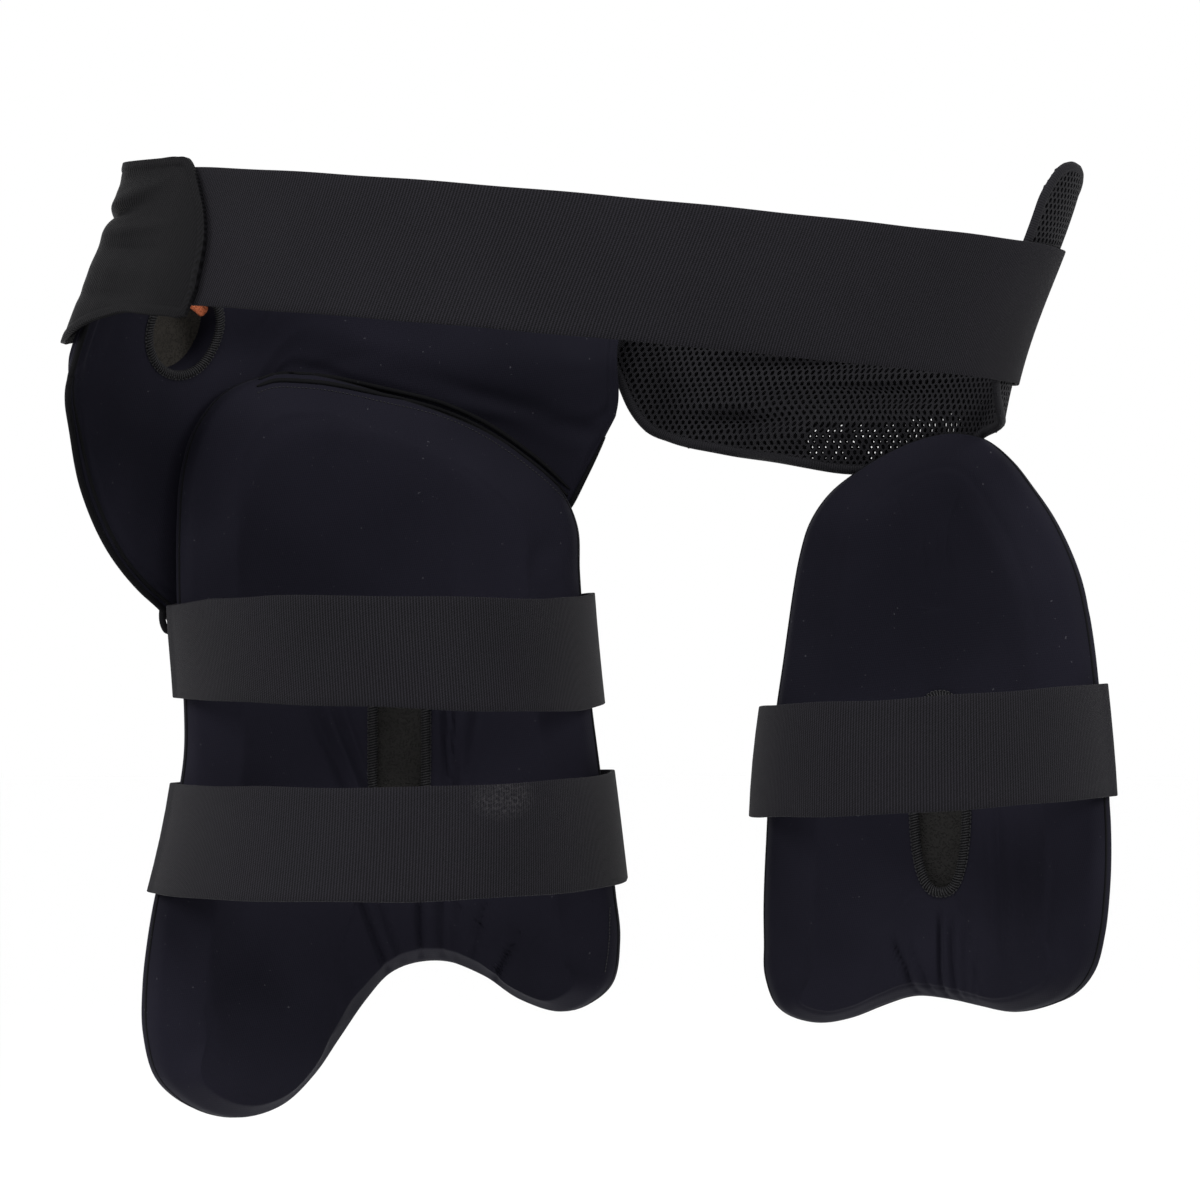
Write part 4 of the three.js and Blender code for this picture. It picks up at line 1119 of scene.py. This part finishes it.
def hip_place(along, across, side):
    degrees = hip_degrees(along)
    top, foam_foot, cloth_foot = hip_ends(degrees)
    row = across * (1 + HEM_SHARE)
    hem = lerp(foam_foot, cloth_foot, (row - 1) / HEM_SHARE)
    height = np.where(row < 1, lerp(top, foam_foot, row), hem)
    degrees = degrees + hip_end_slant(degrees, height)
    from_end = np.minimum(181.5 - degrees, hip_degrees(along) - 81.8)
    swell = smooth(np.minimum(row, 1 - row) * 4) * smooth(from_end / 10)
    half = lerp(HIP_PAD_EDGE, HIP_PAD_THICKNESS, swell) / 2
    thin = smooth((row - 0.97) / 0.06) + smooth(-from_end / 0.5) + smooth((0.02 - row) / 0.02)
    half = lerp(half, CLOTH, np.clip(thin, 0, 1))
    if side < 0:
        arc = LOOP_HALF_DEPTH * DEGREE * 1.25
        creases = [(a * arc, b, c * arc, d, wide, deep) for a, b, c, d, wide, deep in HIP_CREASES]
        half = half - fold_depth(degrees * arc, height, creases)
    return off_surface(hip_surface, degrees, height, side * half)[0]


def closed_sheet(name, columns, rows, place):
    """A sheet with two faces that meet at its border: place(along, across, side) in mm."""
    piece, lining = (
        grid_sheet(label, columns, rows, lambda a, b: place(a, b, side), (1000, 1000))
        for label, side in ((name, 1.0), (name + "_lining", -1.0)))
    keep_only(lining)
    piece.select_set(True)
    bpy.context.view_layer.objects.active = piece
    bpy.ops.object.join()
    bpy.ops.object.mode_set(mode="EDIT")
    bpy.ops.mesh.select_mode(type="EDGE")
    bpy.ops.mesh.select_all(action="DESELECT")
    bpy.ops.mesh.select_non_manifold()
    bpy.ops.mesh.bridge_edge_loops()
    bpy.ops.object.mode_set(mode="OBJECT")
    faces_outwards(piece)
    return piece


hip_cover = closed_sheet("hip_pad_cover", 110, 44, hip_place)
stuffed(hip_cover, HIP_PRESSURE, HIP_SWELL)
rounded(hip_cover)

HOLE_AT = (148, -18.4)
HOLE_RADIUS = 19.5
HOLE_TALLER = 1.06
RECESS_FLOOR = 4.6
hole_middle, hole_way = (value[0] for value in off_surface(
    hip_surface, np.array([HOLE_AT[0]]), np.array([HOLE_AT[1]]), np.array([0.0])))
hole_aside = unit(np.cross(hole_way, [0, 0, 1]))
hole_up = np.cross(hole_aside, hole_way)


def hole_ring(radius, depth, count=120):
    """Points round the opening in mm, at a depth from the middle of the pad."""
    angle = 2 * np.pi * np.arange(count)[:, None] / count
    ring = hole_aside * np.cos(angle) + hole_up * np.sin(angle) * HOLE_TALLER
    return hole_middle + ring * radius + hole_way * depth


hole_start = hole_ring(HOLE_RADIUS, -40)
hole_spots, hole_normals = cloth_hits(
    hip_cover, hole_start, np.tile(hole_way, (len(hole_start), 1)))
cut_recess(hip_cover, [hole_ring(HOLE_RADIUS - 1, depth) for depth in (-25, RECESS_FLOOR)])
dress(hip_cover, lycra)
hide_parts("hip_cover")
overlock("hip_pocket", hole_spots, hole_normals)

# The foam in the hip pad's pocket: a soft grey-brown sheet that bows away inside the opening,
# with a second, orange layer of foam showing at its upper edge.
FOAM_SHEET = 0.8
FOAM_BOW = 6.6
FOAM_TILT = 3.4
FOAM_RIM = -3.2
# Along the orange layer's edge: aside, up and in from the middle of the opening.
ORANGE_LINE = [(4, 13.5, -4.2), (8, 12, -4.6), (12, 10, -4.6), (15, 8, -4.2)]


def scoop_place(along, across):
    angle, radius = along * 2 * np.pi, across * (HOLE_RADIUS - 0.6)
    share = radius / HOLE_RADIUS
    depth = FOAM_RIM + FOAM_BOW * (1 - share**2) ** 0.7 + FOAM_TILT * np.cos(angle) * share
    ring = hole_aside * np.cos(angle)[:, None] + hole_up * np.sin(angle)[:, None] * HOLE_TALLER
    return hole_middle + ring * radius[:, None] + hole_way * depth[:, None]


hip_foam = grid_sheet("hip_pocket_foam", 72, 20, scoop_place, (120, 20))
keep_only(hip_foam)
bpy.ops.object.mode_set(mode="EDIT")
bpy.ops.mesh.select_all(action="SELECT")
bpy.ops.mesh.remove_doubles(threshold=0.00001)
bpy.ops.object.mode_set(mode="OBJECT")
cloth_edges(hip_foam, FOAM_SHEET, 0.1)
pocket_foam = foam_finish("hip_pocket_foam", (0.009, 0.008, 0.007), (0.024, 0.0215, 0.0185))
dress(hip_foam, pocket_foam)
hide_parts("hip_foam")

orange_path = hole_middle + np.array(ORANGE_LINE) @ np.array([hole_aside, hole_up, hole_way])
orange_line, orange_up = evenly(orange_path, np.tile(-hole_way, (4, 1)), 0.8)
orange_foam = tubes("orange_foam_edge", [orange_line], [orange_up], 3.4, 1.5, 12, tapered=True)
orange = foam_finish("orange_foam", (0.24, 0.06, 0.025), (0.36, 0.1, 0.045))
dress(orange_foam, orange)

# Bindings of the hip pad: a narrow folded tape sewn over the cloth's lower edge, from the left
# side seam down to the wing's tip, and a double line of piping where it joins the thigh pad.
BINDING_HALF = 1.5
PIPING_IN = 3.2
HEM_GAP = 3.0
EYE = np.array(CAMERA_PLACE) * 1000
# The binding's loose end, turned over at the wing's tip: across, forward and up in mm. Across and
# up are as seen from behind at the waist loop's middle.
BINDING_END = np.array([
    [-186.2, 60, -145.5], [-187.4, 58, -150], [-187.2, 57, -155], [-185.5, 57, -158.6],
    [-183, 58, -158], [-182.4, 59, -154],
])
HEM_LINE = [
    (-145, -49), (-137, -46.5), (-127, -46.5), (-111.5, -48), (-88, -53), (-62, -59.5), (-40, -70),
    (-19, -85), (-5, -98),
]


def through_rows(table, at):
    """A smooth line through a table's rows, at places counted in rows."""
    rows = np.concatenate([np.arange(len(table))[:, None], table], 1)
    return np.stack([soft_table(rows, k + 1, at) for k in range(rows.shape[1] - 1)], 1)


def eased(line, passes):
    """Evens out an open line, whose ends stay."""
    for _ in range(passes):
        line[1:-1] = (line[:-2] + 2 * line[1:-1] + line[2:]) / 4
    return line


def laid_from_behind(points, covers, count, lift):
    """A line drawn as it is seen from behind, in mm at the waist loop's middle, laid on whichever
    cover is nearest behind it."""
    across, up = through_rows(points, np.linspace(0, len(points) - 1, count)).T
    ways = unit(np.stack([across, 0 * across, up], 1) - EYE)
    hits = [cloth_hits(cover, np.tile(EYE, (count, 1)), ways) for cover in covers]
    spots, normals = (np.stack(kind) for kind in zip(*hits))
    far = np.linalg.norm(spots - EYE, axis=2)
    missed = far < 100
    nearest = (far + 1e6 * missed).argmin(0), np.arange(count)
    met = ~missed[nearest]
    spots, normals = eased(spots[nearest], 4)[met], unit(eased(normals[nearest], 4)[met])
    return spots + normals * lift, normals


def edge_line(along):
    degrees = hip_degrees(along)
    return off_surface(hip_surface, degrees, hip_ends(degrees)[2], 0 * degrees)


side_height = np.linspace(26, hip_ends(np.array([184.0]))[2][0], 60)
side_line = off_surface(hip_surface, np.full(60, 184.0), side_height, np.zeros(60))
bind_path, bind_normals = (
    np.concatenate([side[:-1], edge])
    for side, edge in zip(side_line, edge_line(np.linspace(0, 0.97, 420))))
bind_path = eased(bind_path, 3)
bindings = [tubes(
    "hip_pad_binding", [bind_path], [bind_normals], BINDING_HALF, BINDING_HALF, 10, tapered=True)]
bind_aside = unit(np.cross(unit(np.gradient(bind_path, axis=0)), bind_normals))
bind_aside = bind_aside * np.sign((bind_aside * (hole_middle - bind_path)).sum(1).mean())
cord_path, cord_up = cloth_hits(
    hip_cover, bind_path + bind_aside * PIPING_IN - bind_normals * 20, bind_normals)
cord_path, cord_up = eased(cord_path[70:-40], 5), cord_up[70:-40]
bindings.append(tubes("hip_pad_piping", [cord_path], [cord_up], 0.9, 0.7, 8, tapered=True))
tip_path = through_rows(BINDING_END, np.linspace(0, len(BINDING_END) - 1, 40))
tip_path = lerp(EYE, tip_path * [1, 0, 1], 1 + tip_path[:, 1:2] / -EYE[1])
tip_up = np.tile([0.0, -1, 0], (40, 1))
bindings.append(tubes("hip_pad_binding_end", [tip_path], [tip_up], 1.6, 1.1, 8, tapered=True))
hem_pieces = []
for name, shift in (("hem_piping_front", 0.0), ("hem_piping_back", HEM_GAP)):
    line = [(x + 0.3 * shift, z + shift) for x, z in HEM_LINE]
    path, ups = laid_from_behind(line, [hip_cover, thigh_cover], 200, 0.3)
    hem_pieces.append(tubes(name, [path], [ups], 1.2, 1.0, 8, tapered=True))
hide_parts("hem_piping")
for binding in bindings + hem_pieces:
    dress(binding, overlock_cloth)
hem_sewn, hem_up = laid_from_behind(
    [(x, z - HEM_GAP) for x, z in HEM_LINE], [hip_cover, thigh_cover], 200, 0.1)
dress(stitch_row("hem_stitches", hem_sewn, hem_up, 1.8, 0.22), overlock_thread)
seam_sewn, seam_up = laid_from_behind(
    [(13.8, -283), (13.4, -300), (11.6, -313)], [thigh_cover], 60, 0.1)
seam_stitches = stitch_row("thigh_pad_seam_stitches", seam_sewn, seam_up, 1.6, 0.22)
dress(seam_stitches, overlock_thread)

# Mesh panel: open spacer mesh round the right half of the waist. Two knitted nets lie face to
# face with their holes out of step, so that light comes through only where they are stretched.
MESH_DROP = 87
TONGUE_RISE = 52
INNER_PAD_TOP = -69
PANEL_ENDS = (83.5, -23.5)
HOLE_PITCH = 3.24
HOLE_ROW = 2.5
NET_ROWS = (-36, 22)
NET_YARN = 0.9
NET_OFF = 0.95
# Degrees, how far down the panel reaches as a share of its drop, and how far its upper edge rises
# from the belt's edge to the top of its upright end.
MESH_LINES = np.array([
    [83.5, 0.37, 0], [81.3, 0.485, 0], [78.6, 0.66, 0], [76.4, 0.757, 0], [73, 0.816, 0],
    [65.6, 0.882, 0], [58.1, 0.932, 0], [52.6, 0.971, 0], [46.5, 1.0, 0], [38, 0.99, 0],
    [30, 0.97, 0], [22, 0.91, 0.04], [14, 0.82, 0.28], [7, 0.79, 0.56], [0, 0.77, 0.75],
    [-6, 0.75, 0.88], [-12, 0.67, 0.94], [-16.5, 0.55, 0.94], [-20, 0.35, 0.86], [-23.5, 0.0, 0.56],
])
# Folds of the panel: degrees, reach in degrees, height and spread as shares of its drop, and
# depth in its thickness (less than 0: out).
MESH_FOLDS = [
    (62, 17, -0.62, 0.06, 1.3), (50, 20, -0.8, 0.055, 1.4), (40, 16, -0.5, 0.07, 1.2),
    (74, 8, -0.45, 0.1, 0.8), (55, 22, -0.42, 0.05, -0.9), (34, 14, -0.68, 0.045, 1.3),
    (46, 18, -0.58, 0.045, -0.8), (60, 14, -0.72, 0.045, -0.8), (30, 14, -0.4, 0.05, -0.7),
]
# Where the nets are stretched open: across the part and up, in mm.
OPEN_BAND = np.array([[86, -69], [112, -73.5], [140, -73], [165, -66], [192, -59]])


def mesh_surface(degrees, height):
    clear = 0.82 * HIP_PAD_THICKNESS + MESH_THICKNESS / 2 + 0.3
    off = lerp(MESH_THICKNESS, clear, smooth((degrees - 67.5) / 10))
    point = loop_point(degrees, height, off)
    away = np.stack([np.cos(np.radians(degrees)), np.sin(np.radians(degrees)), 0 * degrees], -1)
    for middle, reach, fold_height, spread, depth in MESH_FOLDS:
        along = smooth(1 - np.abs(degrees - middle) / reach)
        across = (height / MESH_DROP - fold_height) / spread
        push = along * np.exp(-across * across) * depth * MESH_THICKNESS
        point = point - away * push[..., None]
    on_pad = in_front_of_pad(inner, point[..., 0], SEAT + MESH_THICKNESS / 2)
    low = smooth((0.66 * INNER_PAD_TOP - height) / (-0.28 * INNER_PAD_TOP))
    near = smooth((degrees - 6) / 8) * smooth((64 - degrees) / 12)
    point[..., 1] = lerp(point[..., 1], on_pad, low * near)
    return point


def mesh_ends(degrees):
    """Heights of the panel's upper and lower edges."""
    edge = BELT_HALF_HEIGHT + belt_slope(degrees)
    drop, rise = (soft_table(MESH_LINES, column, degrees) for column in (1, 2))
    return lerp(edge, TONGUE_RISE, rise), -drop * MESH_DROP


panel_degrees = np.linspace(*PANEL_ENDS, 600)
panel_line = loop_point(panel_degrees, 0 * panel_degrees, MESH_THICKNESS)
panel_at = length_along(panel_line)
random_holes = np.random.default_rng(7)


def net_layer(name, off, shift, hole_size):
    """One knitted net: a hole in every cell of a staggered honeycomb, laid on the panel's surface.
    hole_size gives each cell's hole as a share of the full one, from its place in the part."""
    half, row = HOLE_PITCH / 2, HOLE_ROW
    corners = [
        (0, 2 * row / 3), (-half, row / 3), (-half, -row / 3),
        (0, -2 * row / 3), (half, -row / 3), (half, row / 3)]
    hole = [(0, 1.3), (-0.86, 0.62), (-0.86, -0.62), (0, -1.3), (0.86, -0.62), (0.86, 0.62)]
    cells = []
    for j in range(*NET_ROWS):
        for i in range(int(panel_at[-1] / HOLE_PITCH) + 1):
            s, t = (i + 0.5 * (j % 2)) * HOLE_PITCH + shift, j * row
            degrees = np.interp(s, panel_at, panel_degrees)
            top, foot = mesh_ends(np.array([degrees]))
            if 0.8 < s < panel_at[-1] - 0.8 and foot[0] + 1.2 < t < top[0] - 1.2:
                cells.append((s, t))
    cells = np.array(cells)
    spots = mesh_surface(np.interp(cells[:, 0], panel_at, panel_degrees), cells[:, 1])
    sizes = hole_size(spots)
    found, places, faces = {}, [], []

    def corner(s, t):
        key = (round(s * 20), round(t * 20))
        if key not in found:
            found[key] = len(places)
            places.append((s, t))
        return found[key]

    for (s, t), size in zip(cells, sizes):
        outer = [corner(s + a, t + b) for a, b in corners]
        if size < 0.05:
            faces.append(outer)
            continue
        start = len(places)
        places.extend((s + a * size, t + b * size) for a, b in hole)
        for k in range(6):
            faces.append([outer[k], outer[(k + 1) % 6], start + (k + 1) % 6, start + k])
    places = np.array(places)
    degrees = np.interp(places[:, 0], panel_at, panel_degrees)
    points, _ = off_surface(mesh_surface, degrees, places[:, 1], np.full(len(places), off))
    net = new_piece(name, points, faces)
    lay_out(net, net.data.uv_layers.new(name="cloth"), places / 1000)
    wall = net.modifiers.new("thickness", "SOLIDIFY")
    wall.thickness = NET_YARN / 1000
    wall.offset = 0
    finish_modifiers(net)
    faces_outwards(net)
    bpy.ops.object.shade_smooth_by_angle(angle=math.radians(55))
    dress(net, net_finish.material)
    return net


def band_share(spots):
    """1 where the nets are stretched open, 0 elsewhere."""
    middle = np.interp(spots[:, 0], OPEN_BAND[:, 0], OPEN_BAND[:, 1])
    inside = smooth((spots[:, 0] - 80) / 14) * smooth((198 - spots[:, 0]) / 8)
    return inside * smooth(1.6 - np.abs(spots[:, 2] - middle) / 7)


def curled_round(spots):
    """Whether cells are on the part that is curled round the hip, whose outer net is seen."""
    return (spots[:, 1] < 10) & (spots[:, 0] > 150)


def front_holes(spots):
    return np.where(curled_round(spots), 0.0, 0.98)


def back_holes(spots):
    open_cell = random_holes.random(len(spots)) < band_share(spots) * 0.8
    size = np.where(open_cell, 0.14 + 0.24 * random_holes.random(len(spots)), 0.0)
    size = size * (1 + 1.6 * smooth((spots[:, 0] - 145) / 25))
    return np.where(curled_round(spots), 0.98, size)


net_finish = Finish("spacer_mesh_yarn", 0.7, 0.08, 0.012)
u, v, _ = net_finish.places("UV")
yarn = (u * 0.7 + v).wave(0.0007) * 0.5 + net_finish.noise(900, 2, "UV") * 0.5
net_finish.relief(yarn, 0.00025, 0.9)
net_finish.colour(yarn, (0.001, 0.001, 0.0014), (0.0088, 0.0084, 0.0104))
front_net = net_layer("mesh_front_net", -NET_OFF, 0, front_holes)
back_net = net_layer("mesh_back_net", NET_OFF, 0.5, back_holes)
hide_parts("mesh_panel")

# Binding of the mesh panel: a soft knitted tape folded over its whole border.
BORDER_IN = 2.0
border_along = np.concatenate([
    np.zeros(60), np.linspace(0, 1, 420)[1:], np.ones(39), np.linspace(1, 0, 420)[1:-1]])
border_across = np.concatenate([
    np.linspace(0, 1, 60), np.ones(419), np.linspace(1, 0, 40)[1:], np.zeros(418)])
border_degrees = np.interp(border_along * panel_at[-1], panel_at, panel_degrees)
border_top, border_foot = mesh_ends(border_degrees)
border_height = lerp(border_top - BORDER_IN, border_foot + BORDER_IN, border_across)
border_degrees = np.clip(border_degrees, -22.9, 82.9)
inset = settle(np.stack([border_degrees, border_height], 1), 14)
border_path, border_normals = (
    settle(line, 3) for line in off_surface(mesh_surface, *inset.T, 0 * inset[:, 0]))
mesh_binding = tubes(
    "mesh_panel_binding", [border_path], [unit(border_normals)], 2.5, 1.8, 12, closed=True)
tape = Finish("knitted_binding_tape", 0.7, 0.06, 0.01)
u, v, _ = tape.places("UV")
tape_knit = u.wave(0.0011) * 0.5 + tape.noise(900, 2, "UV") * 0.5
tape.relief(tape_knit, 0.0003, 0.8)
tape.colour(tape_knit, (0.002, 0.002, 0.0026), (0.0098, 0.0094, 0.0114))
dress(mesh_binding, tape.material)
